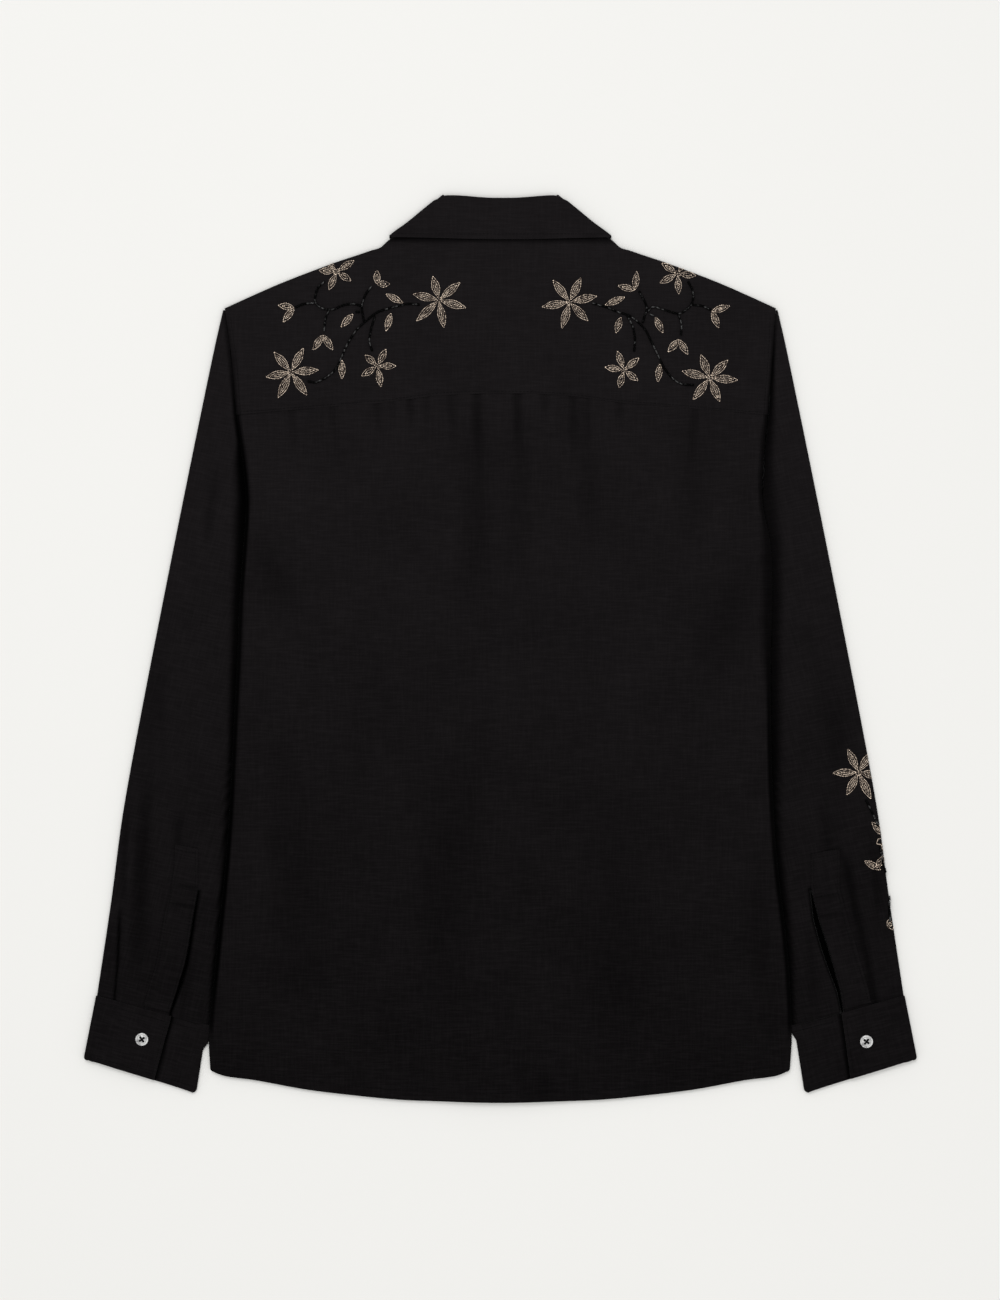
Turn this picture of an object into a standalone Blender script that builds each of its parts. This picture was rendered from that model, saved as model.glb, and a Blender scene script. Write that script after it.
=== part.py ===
import math
from bisect import bisect_right

import bmesh
import bpy
from mathutils import Vector

# A long-sleeved shirt laid face down on a table, back up, sleeves folded down beside the body.
# X runs across, +Y points to the collar and Z is up from the table.
# Sizes are in millimetres. "down" is measured from the collar's top fold and "out" from the centre back.
# Side -1 is the wearer's left, which lies at -X, and side +1 the wearer's right.

MM = 0.001
TOP_Y = 385.2
WALL = 1.0
CUFF_WALL = 1.4
SEAM = 0.3
HALF_SEAM = SEAM / 2

# Heights of the middle of each layer above the table
FRONT_Z = 0.5
LAYER = WALL + SEAM
BACK_Z = 3.2
NECK_RISE = 0.3
RIDGE_RISE = 2.05
RIDGE_FLAT = 18.0
RIDGE_EASE = 57.0
TUCK_RISE = 2 * LAYER
TUCK_SHARE = 0.54
EDGE_Z = 1.8

# Collar: a straight band at the back of the neck, bent under along a slanted line at each side
COLLAR_Z = 2.66
STAND_H = 0.85
FALL_H = 2.15
ROLL_DOWN = 1.15
ROLL_R = (FALL_H - STAND_H) / 2
STAND_WIDTH = 27.1
FALL_WIDTH = 37.0
BEND_OUT = 47.5
BEND_DOWN = 2.3
BEND_RUN = (48.1, 38.0)
NECK_CENTRE = 11.6
ROLL_RADIUS = 49.8
POINT_RADIUS = 117.3
POINT_ANGLE = math.radians(61.6)
END_ANGLE = math.radians(89.5)
COLLAR_REACH = 121.0
COLLAR_EASE = 29.0

# Front closing: two bands of the same width on the centre line
BAND_HALF = 15.0
BAND_EASE = (20.0, 40.0)
BUTTON_D = 11.4
BUTTON_T = 2.0
FRONT_BUTTONS = 6
FRONT_BUTTON_DOWN = 175.0
FRONT_BUTTON_STEP = 92.0
DIMPLE_RISE = 2.3
DIMPLE_FLAT = 6.5

# Yoke fold over the shoulder: out, down
SHOULDER = ((80.75, 28.57), (95.6, 40.3), (101.5, 45.6), (110.5, 48.4), (153.0, 63.6), (187.6, 77.0), (234.0, 97.6))
FRONT_SEAM = ((100.0, 68.0), (150.0, 87.0), (190.0, 103.5))
FRONT_SEAM_END = 122.5
FRONT_SEAM_ANGLE = math.radians(33.0)
YOKE_SEAM = ((0.0, 169.0), (52.0, 170.5), (100.0, 176.5), (147.0, 180.3), (191.0, 184.0), (225.5, 187.0))
HEM = ((0.0, 771.7), (50.0, 770.6), (85.0, 769.3), (124.0, 765.6), (165.0, 760.6), (209.0, 752.6), (234.0, 749.2),
       (247.0, 744.6))
FRONT_HEM_SHORT = 2.5

# Armhole and side of the body: down, out at the wearer's left, out at the wearer's right
BODY_EDGE = ((96.0, 234.5, 234.0), (141.0, 228.5, 231.5), (191.0, 224.5, 227.5), (225.0, 219.5, 224.0),
             (259.0, 216.5, 223.0), (302.0, 219.0, 230.5), (344.0, 222.0, 231.5), (395.0, 224.0, 230.0),
             (463.0, 227.5, 230.5), (514.0, 230.0, 232.0), (565.0, 233.5, 235.5), (650.0, 242.0, 245.0),
             (712.0, 248.0, 248.0), (745.0, 247.0, 246.5))

# Gathers under the yoke seam: across, depth, length
GATHERS = ((-146.5, 0.5, 45.0), (-105.7, 0.9, 25.0), (-94.7, 0.5, 20.0), (-78.5, 0.8, 16.0), (-65.8, 0.5, 30.0),
           (-36.0, 0.7, 25.0), (-19.0, 0.9, 40.0), (18.4, 0.9, 30.0), (41.3, 0.6, 14.0), (56.6, 0.7, 30.0),
           (67.0, 0.9, 35.0), (100.0, 0.6, 20.0), (163.0, 0.5, 40.0))
GATHER_HALF = 4.8

# Sleeve: outer fold (down, out), inner fold (down, out) and where the body lifts over it (down, out)
SLEEVE_OUTER = ((99.0, 236.4), (123.0, 241.8), (157.0, 249.0), (225.0, 263.0), (327.0, 283.5), (463.0, 310.0),
                (531.0, 322.0), (599.0, 331.0), (682.0, 343.4))
UNDERARM_DOWN = 252.0
SLEEVE_INNER = ((286.0, 207.0), (315.0, 190.0), (350.0, 160.0), (390.0, 135.0), (430.0, 128.0),
                (475.0, 137.0), (523.0, 158.0), (586.0, 186.0), (652.0, 215.0), (706.5, 249.6))
TUCK = ((195.0, 268.0), (215.0, 243.0), (232.0, 216.0)) + SLEEVE_INNER + ((735.0, 276.0), (769.0, 300.0))
TUCK_MARGIN = 16.0
TUCK_EASE = 34.0
SLEEVE_FOLD_R = 1.35
TUCKED_FOLD_R = 0.65
SLEEVE_CROWN = 0.7
SLEEVE_LOW_Z = 0.62
GROOVE = 16.0
ARMHOLE_GAP = 0.5
INNER_EASE = 1.35
SINK_DOWN = (188.0, 228.0)

# Sleeve slit: down, out left, out right, width of the opening; the band on it starts at a share of the sleeve
SLIT = ((590.0, 256.5, 263.7, 0.4), (616.0, 260.7, 268.5, 4.0), (654.0, 267.0, 280.0, 6.5), (677.0, 274.0, 287.5, 4.5),
        (695.0, 280.4, 290.8, 2.0))
PLACKET_TOP = {-1: 0.765, 1: 0.775}
PLACKET_WIDTH = 24.5
PLACKET_LIFT = 1.55
PLEAT_SHARE = {-1: 0.25, 1: 0.47}
PLEAT_DEPTH = 0.9

# Cuff corners: seam and bottom, at the outer and inner folds (out, down)
CUFF_TOP = ((343.6, 682.2), (249.8, 707.2))
CUFF_BOTTOM = ((354.2, 735.2), (260.0, 762.6))
CUFF_OVERLAP = {-1: (0.68, 0.63), 1: (0.57, 0.59)}
CUFF_UNDERLAP = 0.2
CUFF_UNDER_Z = CUFF_WALL / 2 + CUFF_WALL + 0.5
CUFF_OVER_Z = CUFF_UNDER_Z + CUFF_WALL + SEAM
CUFF_BUTTON = {-1: (304.6, 717.6), 1: (311.1, 719.5)}

BLACK = (0.010, 0.0095, 0.010)
PEARL = (0.62, 0.61, 0.58)


def smooth(t):
    t = min(max(t, 0.0), 1.0)
    return t * t * (3.0 - 2.0 * t)


def mix(a, b, t):
    return a + (b - a) * t


def look_up(rows, key, column=1):
    """Value of a column at a key, straight between the rows and level beyond them."""
    if key <= rows[0][0]:
        return rows[0][column]
    for low, high in zip(rows, rows[1:]):
        if key <= high[0]:
            return mix(low[column], high[column], (key - low[0]) / (high[0] - low[0]))
    return rows[-1][column]


def curve(points):
    """Smooth line through points, read by its share of the way along."""
    knots = [Vector(p) for p in points]
    marks = [0.0]
    for a, b in zip(knots, knots[1:]):
        marks.append(marks[-1] + (b - a).length)

    def slope(k):
        before, after = max(k - 1, 0), min(k + 1, len(knots) - 1)
        return (knots[after] - knots[before]) / (marks[after] - marks[before])

    def at(share):
        run = share * marks[-1]
        k = min(max(bisect_right(marks, run) - 1, 0), len(knots) - 2)
        span = marks[k + 1] - marks[k]
        t = (run - marks[k]) / span
        return ((2 * t ** 3 - 3 * t ** 2 + 1) * knots[k] + (t ** 3 - 2 * t ** 2 + t) * span * slope(k)
                + (3 * t ** 2 - 2 * t ** 3) * knots[k + 1] + (t ** 3 - t ** 2) * span * slope(k + 1))

    at.length = marks[-1]
    return at


def chain(*parts):
    """Several lines end to end, read as one."""
    total = sum(part.length for part in parts)

    def at(share):
        run = share * total
        for part in parts[:-1]:
            if run <= part.length:
                return part(run / part.length)
            run -= part.length
        return parts[-1](min(run / parts[-1].length, 1.0))

    at.length = total
    return at


def patch(top, bottom, left, right):
    """Flat position inside four border lines."""
    def at(u, v):
        corners = ((1 - u) * (1 - v) * top(0) + u * (1 - v) * top(1) + (1 - u) * v * bottom(0) + u * v * bottom(1))
        return (1 - v) * top(u) + v * bottom(u) + (1 - u) * left(v) + u * right(v) - corners
    return at


def steps(count):
    return [i / count for i in range(count + 1)]


def finish(name, rgb, roughness):
    material = bpy.data.materials.new(name)
    material.use_nodes = True
    shader = material.node_tree.nodes["Principled BSDF"]
    shader.inputs["Base Color"].default_value = (*rgb, 1.0)
    shader.inputs["Roughness"].default_value = roughness
    shader.inputs["Metallic"].default_value = 0.0
    return material


def place(name, mesh, material):
    item = bpy.data.objects.new(name, mesh)
    mesh.materials.append(material)
    shirt.objects.link(item)
    return item


def cloth(name, rows, wall=WALL):
    """Cloth wall around a sheet of points (across, down, height); None leaves a place out."""
    mesh = bpy.data.meshes.new(name)
    bm = bmesh.new()
    grid = []
    for row in rows:
        grid.append([p and bm.verts.new((p[0] * MM, (TOP_Y - p[1]) * MM, p[2] * MM)) for p in row])
    for near, far in zip(grid, grid[1:]):
        for a, b, c, d in zip(near, near[1:], far[1:], far):
            if a and b and c and d:
                bm.faces.new((a, d, c, b))
    bmesh.ops.remove_doubles(bm, verts=bm.verts, dist=2e-5)
    bmesh.ops.recalc_face_normals(bm, faces=bm.faces)
    bm.to_mesh(mesh)
    bm.free()
    mesh.shade_smooth()
    item = place(name, mesh, finish(name + "_cloth", BLACK, 0.9))
    shell = item.modifiers.new("Wall", "SOLIDIFY")
    shell.thickness = wall * MM
    shell.offset = 0.0
    shell.use_even_offset = True
    shell.use_rim = True
    return item


def button(name, x, down, base):
    """Turned button with a raised rim, lying flat with its underside at a height."""
    r, t = BUTTON_D / 2, BUTTON_T
    profile = ((0.0, 0.62 * t), (0.62 * r, 0.62 * t), (0.74 * r, t), (0.9 * r, t), (r, 0.6 * t), (0.86 * r, 0.0),
               (0.0, 0.0))
    mesh = bpy.data.meshes.new(name)
    bm = bmesh.new()
    line = [bm.verts.new((px * MM, 0.0, pz * MM)) for px, pz in profile]
    for a, b in zip(line, line[1:]):
        bm.edges.new((a, b))
    bm.to_mesh(mesh)
    bm.free()
    item = place(name, mesh, finish(name + "_pearl", PEARL, 0.25))
    item.location = (x * MM, (TOP_Y - down) * MM, base * MM)
    turn = item.modifiers.new("Turn", "SCREW")
    turn.steps = turn.render_steps = 14
    turn.use_merge_vertices = True
    turn.merge_threshold = 0.00001
    return item


# Shape of the laid shirt

def edge_out(side, down):
    return look_up(BODY_EDGE, down, 1 if side < 0 else 2)


def body_edge(side, start, end, inset):
    column = 1 if side < 0 else 2
    downs = [start] + [row[0] for row in BODY_EDGE if start < row[0] < end] + [end]
    return curve([(side * (look_up(BODY_EDGE, d, column) - inset), d) for d in downs])


def front_seam(side, shift):
    """Seam between the yoke and a front, from the neck to the armhole, moved down by a little."""
    corner = neck_point(FRONT_SEAM_ANGLE, side, SEAM) + Vector((0.0, shift))
    end_down = FRONT_SEAM_END + shift
    end = (side * (edge_out(side, end_down) - HALF_SEAM), end_down)
    return curve([corner] + [(side * out, down + shift) for out, down in FRONT_SEAM] + [end])


def mirrored(points, side):
    return [(side * out, down) for out, down in points]


def whole(points, shift=0.0):
    """Line across the body from its right-hand half, moved down by a little."""
    half = [(out, down + shift) for out, down in points]
    return curve([(-out, down) for out, down in reversed(half[1:])] + half)


def collar_lift(x, down):
    reach = math.hypot(x, down - NECK_CENTRE)
    return LAYER * smooth((COLLAR_REACH + COLLAR_EASE - reach) / COLLAR_EASE)


def tuck_lift(x, down):
    start = look_up(TUCK, down) - TUCK_MARGIN - TUCK_EASE
    return TUCK_RISE * smooth((abs(x) - start) / TUCK_EASE)


def front_z(x, down):
    return FRONT_Z + collar_lift(x, down) + tuck_lift(x, down)


def right_front_z(x, down):
    lap = (BAND_EASE[1] - x) / (BAND_EASE[1] - BAND_EASE[0])
    return front_z(x, down) + LAYER * smooth(lap)


def back_z(x, down):
    ridge = smooth((RIDGE_FLAT + RIDGE_EASE - abs(x)) / RIDGE_EASE) * smooth((down - 48.0) / 42.0)
    neck = NECK_RISE * smooth((75.0 - down) / 30.0)
    return BACK_Z + neck + RIDGE_RISE * ridge + TUCK_SHARE * tuck_lift(x, down)


def neck_radius(angle):
    """Radius of the front neck seam about the neck's centre, at an angle below level."""
    start_out = bend_out(STAND_WIDTH)
    start_down = ROLL_DOWN + STAND_WIDTH - NECK_CENTRE
    start = math.atan2(start_down, start_out)
    share = (angle - start) / (END_ANGLE - start)
    return mix(math.hypot(start_out, start_down), ROLL_RADIUS + STAND_WIDTH, share)


def neck_point(angle, side, gap=0.0):
    r = neck_radius(angle) + gap
    return Vector((side * r * math.cos(angle), NECK_CENTRE + r * math.sin(angle)))


def neck_arc(side, start, end, gap):
    return curve([neck_point(mix(start, end, t), side, gap) for t in steps(6)])


def bend_out(width):
    """Out position of the collar's bend line at a width below the roll."""
    return BEND_OUT + (ROLL_DOWN + width - BEND_DOWN) * BEND_RUN[0] / BEND_RUN[1]


# Pieces

def make_collar():
    run = Vector(BEND_RUN).normalized()
    outward = Vector((run.y, -run.x))
    across = [(STAND_WIDTH * (1 - t), STAND_H) for t in steps(3)]
    for turn in steps(4)[1:-1]:
        across.append((-ROLL_R * math.sin(math.pi * turn), (STAND_H + FALL_H) / 2 - ROLL_R * math.cos(math.pi * turn)))
    across += [(FALL_WIDTH * t, FALL_H) for t in steps(4)]

    def half(side, width, h):
        bend = Vector((bend_out(width), ROLL_DOWN + width))
        points = []
        reach = math.hypot(bend.x, bend.y - NECK_CENTRE)
        angle = math.atan2(bend.y - NECK_CENTRE, bend.x)
        end_reach, end_angle = ROLL_RADIUS + width, END_ANGLE
        if h > STAND_H:
            share = max(width, 0.0) / FALL_WIDTH
            end_reach = mix(ROLL_RADIUS + min(width, 0.0), POINT_RADIUS, share)
            end_angle = mix(END_ANGLE, POINT_ANGLE, share)
        for t in reversed(steps(12)[1:]):
            r, a = mix(reach, end_reach, t), mix(angle, end_angle, t)
            points.append((side * r * math.cos(a), NECK_CENTRE + r * math.sin(a), COLLAR_Z - h))
        for turn in reversed(steps(5)):
            p = bend + outward * h * math.sin(math.pi * turn)
            points.append((side * p.x, p.y, COLLAR_Z + h * math.cos(math.pi * turn)))
        return points

    rows = []
    for width, h in across:
        left = half(-1, width, h)
        middle = [(bend_out(width) * t, ROLL_DOWN + width, COLLAR_Z + h) for t in (-0.6, -0.2, 0.2, 0.6)]
        rows.append(left + middle + list(reversed(half(1, width, h))))
    cloth("collar", rows)


def make_yoke():
    folds = {side: curve(mirrored(SHOULDER, side)) for side in (-1, 1)}
    neck_down = SHOULDER[0][1]
    neck = curve(((-SHOULDER[0][0], neck_down), (SHOULDER[0][0], neck_down)))
    fold_steps, neck_steps = 12, 8
    columns = [(-1, 1 - t) for t in steps(fold_steps)][:-1] + [(0, t) for t in steps(neck_steps)]
    columns += [(1, t) for t in steps(fold_steps)][1:]

    def top_point(column):
        side, t = columns[column]
        return neck(t) if side == 0 else folds[side](t)

    lengths = [0.0]
    for i in range(1, len(columns)):
        lengths.append(lengths[-1] + (top_point(i) - top_point(i - 1)).length)
    shares = [value / lengths[-1] for value in lengths]
    bottom = whole(YOKE_SEAM, -HALF_SEAM)
    sides = {side: body_edge(side, SHOULDER[-1][1], YOKE_SEAM[-1][1] - HALF_SEAM, HALF_SEAM) for side in (-1, 1)}

    def top(share):
        i = min(max(bisect_right(shares, share + 1e-9) - 1, 0), len(shares) - 2)
        t = (share - shares[i]) / (shares[i + 1] - shares[i])
        return mix(top_point(i), top_point(i + 1), t)

    face = patch(top, bottom, sides[-1], sides[1])
    strips = {}
    for side in (-1, 1):
        seam = front_seam(side, -HALF_SEAM)
        start = math.atan2(neck_down - NECK_CENTRE, SHOULDER[0][0])
        strips[side] = patch(folds[side], seam, neck_arc(side, start, FRONT_SEAM_ANGLE, SEAM),
                             body_edge(side, SHOULDER[-1][1], FRONT_SEAM_END - HALF_SEAM, HALF_SEAM))

    def column_points(i):
        side, t = columns[i]
        if side == 0 and i not in (fold_steps, fold_steps + neck_steps):
            wrap = [None] * 8
        else:
            side = -1 if i <= fold_steps else 1
            t = 0.0 if columns[i][0] == 0 else t
            wrap = []
            for v in (1.0, 0.66, 0.33, 0.0):
                p = strips[side](t, v)
                wrap.append((p.x, p.y, front_z(p.x, p.y)))
            p = folds[side](t)
            ahead = folds[side](min(t + 0.02, 1.0)) - folds[side](max(t - 0.02, 0.0))
            outward = Vector((ahead.y, -ahead.x)).normalized() * side
            low, high = front_z(p.x, p.y), back_z(p.x, p.y)
            r, middle = (high - low) / 2, (high + low) / 2
            for turn in steps(5)[1:-1]:
                q = p + outward * r * math.sin(math.pi * turn)
                wrap.append((q.x, q.y, middle - r * math.cos(math.pi * turn)))
        points = list(wrap)
        for v in (0.0, 0.1, 0.24, 0.42, 0.62, 0.82, 1.0):
            p = face(shares[i], v)
            points.append((p.x, p.y, back_z(p.x, p.y)))
        return points

    cloth("back_yoke", list(zip(*[column_points(i) for i in range(len(columns))])))


def gather_dip(x, depth_below):
    dip = 0.0
    for centre, depth, length in GATHERS:
        near = 1.0 - abs(x - centre) / GATHER_HALF
        if near > 0.0:
            dip += depth * near * smooth(1.2 - depth_below / length)
    return dip


def side_turn(side, down):
    """How far the side edge curls down to meet the front: none along the armhole, all below it."""
    return smooth((down - 255.0) / 30.0)


def make_back():
    top, bottom = whole(YOKE_SEAM, HALF_SEAM), whole(HEM)
    start, end = YOKE_SEAM[-1][1] + HALF_SEAM, HEM[-1][1]
    face = patch(top, bottom, body_edge(-1, start, end, HALF_SEAM), body_edge(1, start, end, HALF_SEAM))
    span = YOKE_SEAM[-1][0]
    places = [-span, -205.0, -180.0, 180.0, 205.0, span, -125.0, 0.0, 128.0]
    for centre, depth, length in GATHERS:
        places += [centre - GATHER_HALF, centre, centre + GATHER_HALF]
    places = [x for i, x in enumerate(sorted(places)) if i == 0 or x - sorted(places)[i - 1] > 1.5]
    rows = []
    for v in (0.0, 0.012, 0.026, 0.045, 0.07, 0.1, 0.15, 0.22, 0.3, 0.38, 0.46, 0.54, 0.62, 0.7, 0.78, 0.86, 0.93, 1.0):
        row = []
        for x in places:
            p = face((x + span) / (2 * span), v)
            z = back_z(p.x, p.y) - gather_dip(x, p.y - look_up(YOKE_SEAM, abs(x)))
            row.append((p.x, p.y, z))
        for side, end_index in ((-1, 0), (1, -1)):
            x, down, z = row[end_index]
            curl = side_turn(side, down) * (z - front_z(x, down) - WALL + WALL / 2 - SEAM)
            arc = []
            for turn in (0.33, 0.66, 1.0):
                bend = turn * math.pi / 2
                arc.append((x - side * (0.5 + curl * (1 - math.sin(bend))), down, z - curl * (1 - math.cos(bend))))
            arc.insert(0, (x - side * (0.5 + curl + 1.2), down, z))
            row = [*reversed(arc), *row[1:]] if side < 0 else [*row[:-1], *arc]
        rows.append(row)
    cloth("back_panel", rows)


def make_front(side):
    height = front_z if side < 0 else right_front_z
    inner_out = BAND_HALF + SEAM
    top_angle = math.acos(inner_out / (ROLL_RADIUS + STAND_WIDTH + SEAM))
    neck = neck_arc(side, top_angle, FRONT_SEAM_ANGLE, SEAM)
    top = chain(neck, front_seam(side, HALF_SEAM))
    start = top(0.0)
    bottom = curve([(side * inner_out, HEM[0][1] - FRONT_HEM_SHORT)]
                   + [(side * out, down - FRONT_HEM_SHORT) for out, down in HEM[1:]])
    inner = curve(((start.x, start.y), (side * inner_out, HEM[0][1] - FRONT_HEM_SHORT)))
    outer = body_edge(side, FRONT_SEAM_END + HALF_SEAM, HEM[-1][1] - FRONT_HEM_SHORT, HALF_SEAM)
    face = patch(top, bottom, inner, outer)
    corner = neck.length / top.length
    columns = [corner * t for t in steps(6)] + [mix(corner, 1.0, t) for t in steps(10)[1:]]
    rows = []
    for v in (0.0, 0.03, 0.07, 0.12, 0.16, 0.2, 0.235, 0.27, 0.3, 0.33, 0.36, 0.39, 0.43, 0.48, 0.54, 0.61, 0.69, 0.77,
              0.85, 0.93, 1.0):
        row = []
        for u in columns:
            p = face(u, v)
            row.append((p.x, p.y, height(p.x, p.y)))
        rows.append(row)
    cloth("front_left" if side < 0 else "front_right", rows)


def front_button_downs():
    return [FRONT_BUTTON_DOWN + i * FRONT_BUTTON_STEP for i in range(FRONT_BUTTONS)]


def dimple(x, down):
    lift = 0.0
    for centre in front_button_downs():
        away = max(abs(x), abs(down - centre))
        lift = max(lift, DIMPLE_RISE * smooth((BAND_HALF - away) / (BAND_HALF - DIMPLE_FLAT)))
    return lift


def make_band(name, rise):
    """Front band on the centre line, lifted in a small hollow over each button."""
    offsets = (-BAND_HALF, -10.5, -DIMPLE_FLAT, DIMPLE_FLAT, 10.5, BAND_HALF)
    top = NECK_CENTRE + math.sqrt((ROLL_RADIUS + STAND_WIDTH + SEAM) ** 2 - BAND_HALF ** 2) + 1.4
    bottom = HEM[0][1] - FRONT_HEM_SHORT
    downs = [top, 100.0, 120.0, 140.0]
    for centre in front_button_downs():
        downs += [centre + offset for offset in offsets]
    downs += [mix(downs[-1], bottom, t) for t in (0.35, 0.7, 1.0)]
    rows = [[(x, d, front_z(x, d) + rise + dimple(x, d)) for x in offsets] for d in downs]
    cloth(name, rows)


class Sleeve:
    """One folded sleeve: flat position by share across (outer to inner fold) and share down."""

    def __init__(self, side):
        self.side = side
        inset = SLEEVE_FOLD_R + WALL / 2
        outer = curve([(out - inset, down) for down, out in SLEEVE_OUTER])
        start, end = SLEEVE_OUTER[0][0], UNDERARM_DOWN
        underarm = (edge_out(side, end) + ARMHOLE_GAP, end)
        inner = curve([underarm] + [(out, down) for down, out in SLEEVE_INNER])
        downs = [start] + [row[0] for row in BODY_EDGE if start < row[0] < end] + [end]
        hole = [outer(0.0)] + [(edge_out(side, d) + ARMHOLE_GAP, d) for d in downs[1:-1]] + [inner(0.0)]
        self.plan = patch(curve(hole), curve((outer(1.0), inner(1.0))), outer, lambda v: inner(v ** INNER_EASE))

    def flat(self, u, v):
        p = self.plan(u, v)
        if p.y < UNDERARM_DOWN:
            p.x = max(p.x, edge_out(self.side, p.y) + ARMHOLE_GAP)
        return p

    def top_z(self, u, p):
        """Height of the upper wall: low where the body lies over it, softly crowned where it shows."""
        away = p.x - edge_out(self.side, p.y)
        low = mix(BACK_Z, EDGE_Z, smooth((p.y - SINK_DOWN[0]) / (SINK_DOWN[1] - SINK_DOWN[0])))
        high = 2 * SLEEVE_FOLD_R + SLEEVE_LOW_Z + SLEEVE_CROWN * smooth(u / 0.25)
        return mix(low, high, smooth((away - GROOVE) / 26.0))

    def share_at(self, v, beyond):
        """Share across of the place that lies a distance outside the slit's line."""
        column = 1 if self.side < 0 else 2
        low, high = 0.0, 1.0
        for _ in range(30):
            middle = (low + high) / 2
            p = self.flat(middle, v)
            if p.x > look_up(SLIT, p.y, column) + beyond:
                low = middle
            else:
                high = middle
        return (low + high) / 2

    def slit_share(self, v):
        """Share across of the slit's line, which above the slit is only a line in the cloth."""
        if self.flat(0.5, v).y < SLIT[0][0] - 40.0:
            return mix(0.45, 0.52, v)
        return self.share_at(v, 0.0)


def make_sleeve(side):
    sleeve = Sleeve(side)
    name = "sleeve_left" if side < 0 else "sleeve_right"
    pleat = PLEAT_SHARE[side]
    outer_part = (0.0, pleat - 0.08, pleat, pleat + 0.1, mix(pleat + 0.1, 1.0, 0.5), 1.0)
    rows = []
    for v in (0.0, 0.03, 0.07, 0.12, 0.17, 0.23, 0.3, 0.37, 0.44, 0.51, 0.58, 0.65, 0.71, 0.77, 0.82, 0.87, 0.92, 0.96, 1.0):
        slit = sleeve.slit_share(v)
        lip = sleeve.flat(slit, v)
        gap = look_up(SLIT, lip.y, 3) if lip.y >= SLIT[0][0] else 0.0
        row = []

        def add(u, z, shift=0.0, out=0.0):
            p = sleeve.flat(u, v)
            row.append((side * (p.x + shift + out), p.y, z if z is not None else sleeve.top_z(u, p)))

        for share in reversed(outer_part):
            u = slit * share
            shift = gap / 2 if share == 1.0 else 0.0
            p = sleeve.flat(u, v)
            fold = PLEAT_DEPTH * smooth((p.y - 600.0) / 50.0) if share == pleat else 0.0
            add(u, sleeve.top_z(u, p) - fold, shift)
        for turn in steps(5)[1:-1]:
            bend = math.pi * turn
            add(0.0, SLEEVE_LOW_Z + SLEEVE_FOLD_R * (1 + math.cos(bend)), out=SLEEVE_FOLD_R * math.sin(bend))
        for u in (0.0, 0.25, 0.5, 0.75, 1.0):
            add(u, SLEEVE_LOW_Z)
        end = sleeve.flat(1.0, v)
        r = (sleeve.top_z(1.0, end) - SLEEVE_LOW_Z) / 2
        for turn in steps(4)[1:-1]:
            bend = math.pi * turn
            add(1.0, SLEEVE_LOW_Z + r * (1 - math.cos(bend)), out=-r * math.sin(bend))
        for share in (1.0, 0.75, 0.5, 0.25, 0.0):
            u = mix(slit, 1.0, share)
            add(u, None, -gap / 2 if share == 0.0 else 0.0)
        rows.append(row)
    cloth(name, rows)


def make_placket(side):
    """Band along the slit's outer lip, laid on the sleeve."""
    sleeve = Sleeve(side)
    rows = []
    for v in [mix(PLACKET_TOP[side], 0.995, t) for t in steps(8)]:
        row = []
        for t in (0.02, 0.35, 0.65, 1.0):
            u = sleeve.share_at(v, t * PLACKET_WIDTH)
            p = sleeve.flat(u, v)
            gap = look_up(SLIT, p.y, 3) / 2
            row.append((side * (p.x + gap), p.y, sleeve.top_z(u, p) + PLACKET_LIFT))
        rows.append(row)
    cloth("sleeve_placket_left" if side < 0 else "sleeve_placket_right", rows)


def make_cuff(side):
    """Band wrapped round the sleeve's end, with its outer end lapped over the inner one."""
    face = patch(curve(CUFF_TOP), curve(CUFF_BOTTOM), curve((CUFF_TOP[0], CUFF_BOTTOM[0])),
                 curve((CUFF_TOP[1], CUFF_BOTTOM[1])))
    low = CUFF_WALL / 2
    rows = []
    for v in (0.012, 0.33, 0.66, 1.0):
        lap = mix(*CUFF_OVERLAP[side], v)
        row = []
        for share in (1.0, 0.66, 0.33, 0.0):
            p = face(lap * share, v)
            row.append((side * p.x, p.y, CUFF_OVER_Z))
        r = (CUFF_OVER_Z - low) / 2
        p = face(0.0, v)
        for turn in steps(5)[1:-1]:
            row.append((side * (p.x + r * math.sin(math.pi * turn)), p.y, low + r * (1 + math.cos(math.pi * turn))))
        for u in (0.0, 0.33, 0.66, 1.0):
            p = face(u, v)
            row.append((side * p.x, p.y, low))
        r = (CUFF_UNDER_Z - low) / 2
        for turn in steps(4)[1:-1]:
            row.append((side * (p.x - r * math.sin(math.pi * turn)), p.y, low + r * (1 - math.cos(math.pi * turn))))
        for share in (0.0, 0.4, 0.7, 1.0):
            p = face(mix(1.0, lap - CUFF_UNDERLAP, share), v)
            row.append((side * p.x, p.y, CUFF_UNDER_Z))
        rows.append(row)
    cloth("cuff_left" if side < 0 else "cuff_right", rows, CUFF_WALL)


for item in list(bpy.data.objects):
    bpy.data.objects.remove(item, do_unlink=True)
shirt = bpy.data.collections.new("embroidered_shirt")
bpy.context.scene.collection.children.link(shirt)

make_collar()
make_yoke()
make_back()
make_band("front_placket", 0.0)
make_band("front_button_band", LAYER)
for number, button_down in enumerate(front_button_downs(), 1):
    button("front_button_" + str(number), 0.0, button_down, 0.0)
for hand in (-1, 1):
    make_front(hand)
    make_sleeve(hand)
    make_placket(hand)
    make_cuff(hand)
    button_out, button_down = CUFF_BUTTON[hand]
    label = "cuff_button_left" if hand < 0 else "cuff_button_right"
    button(label, hand * button_out, button_down, CUFF_OVER_Z + CUFF_WALL / 2 + SEAM)
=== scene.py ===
import math
import random
from bisect import bisect_right

import bmesh
import bpy
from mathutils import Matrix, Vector, noise
from mathutils.bvhtree import BVHTree


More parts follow.
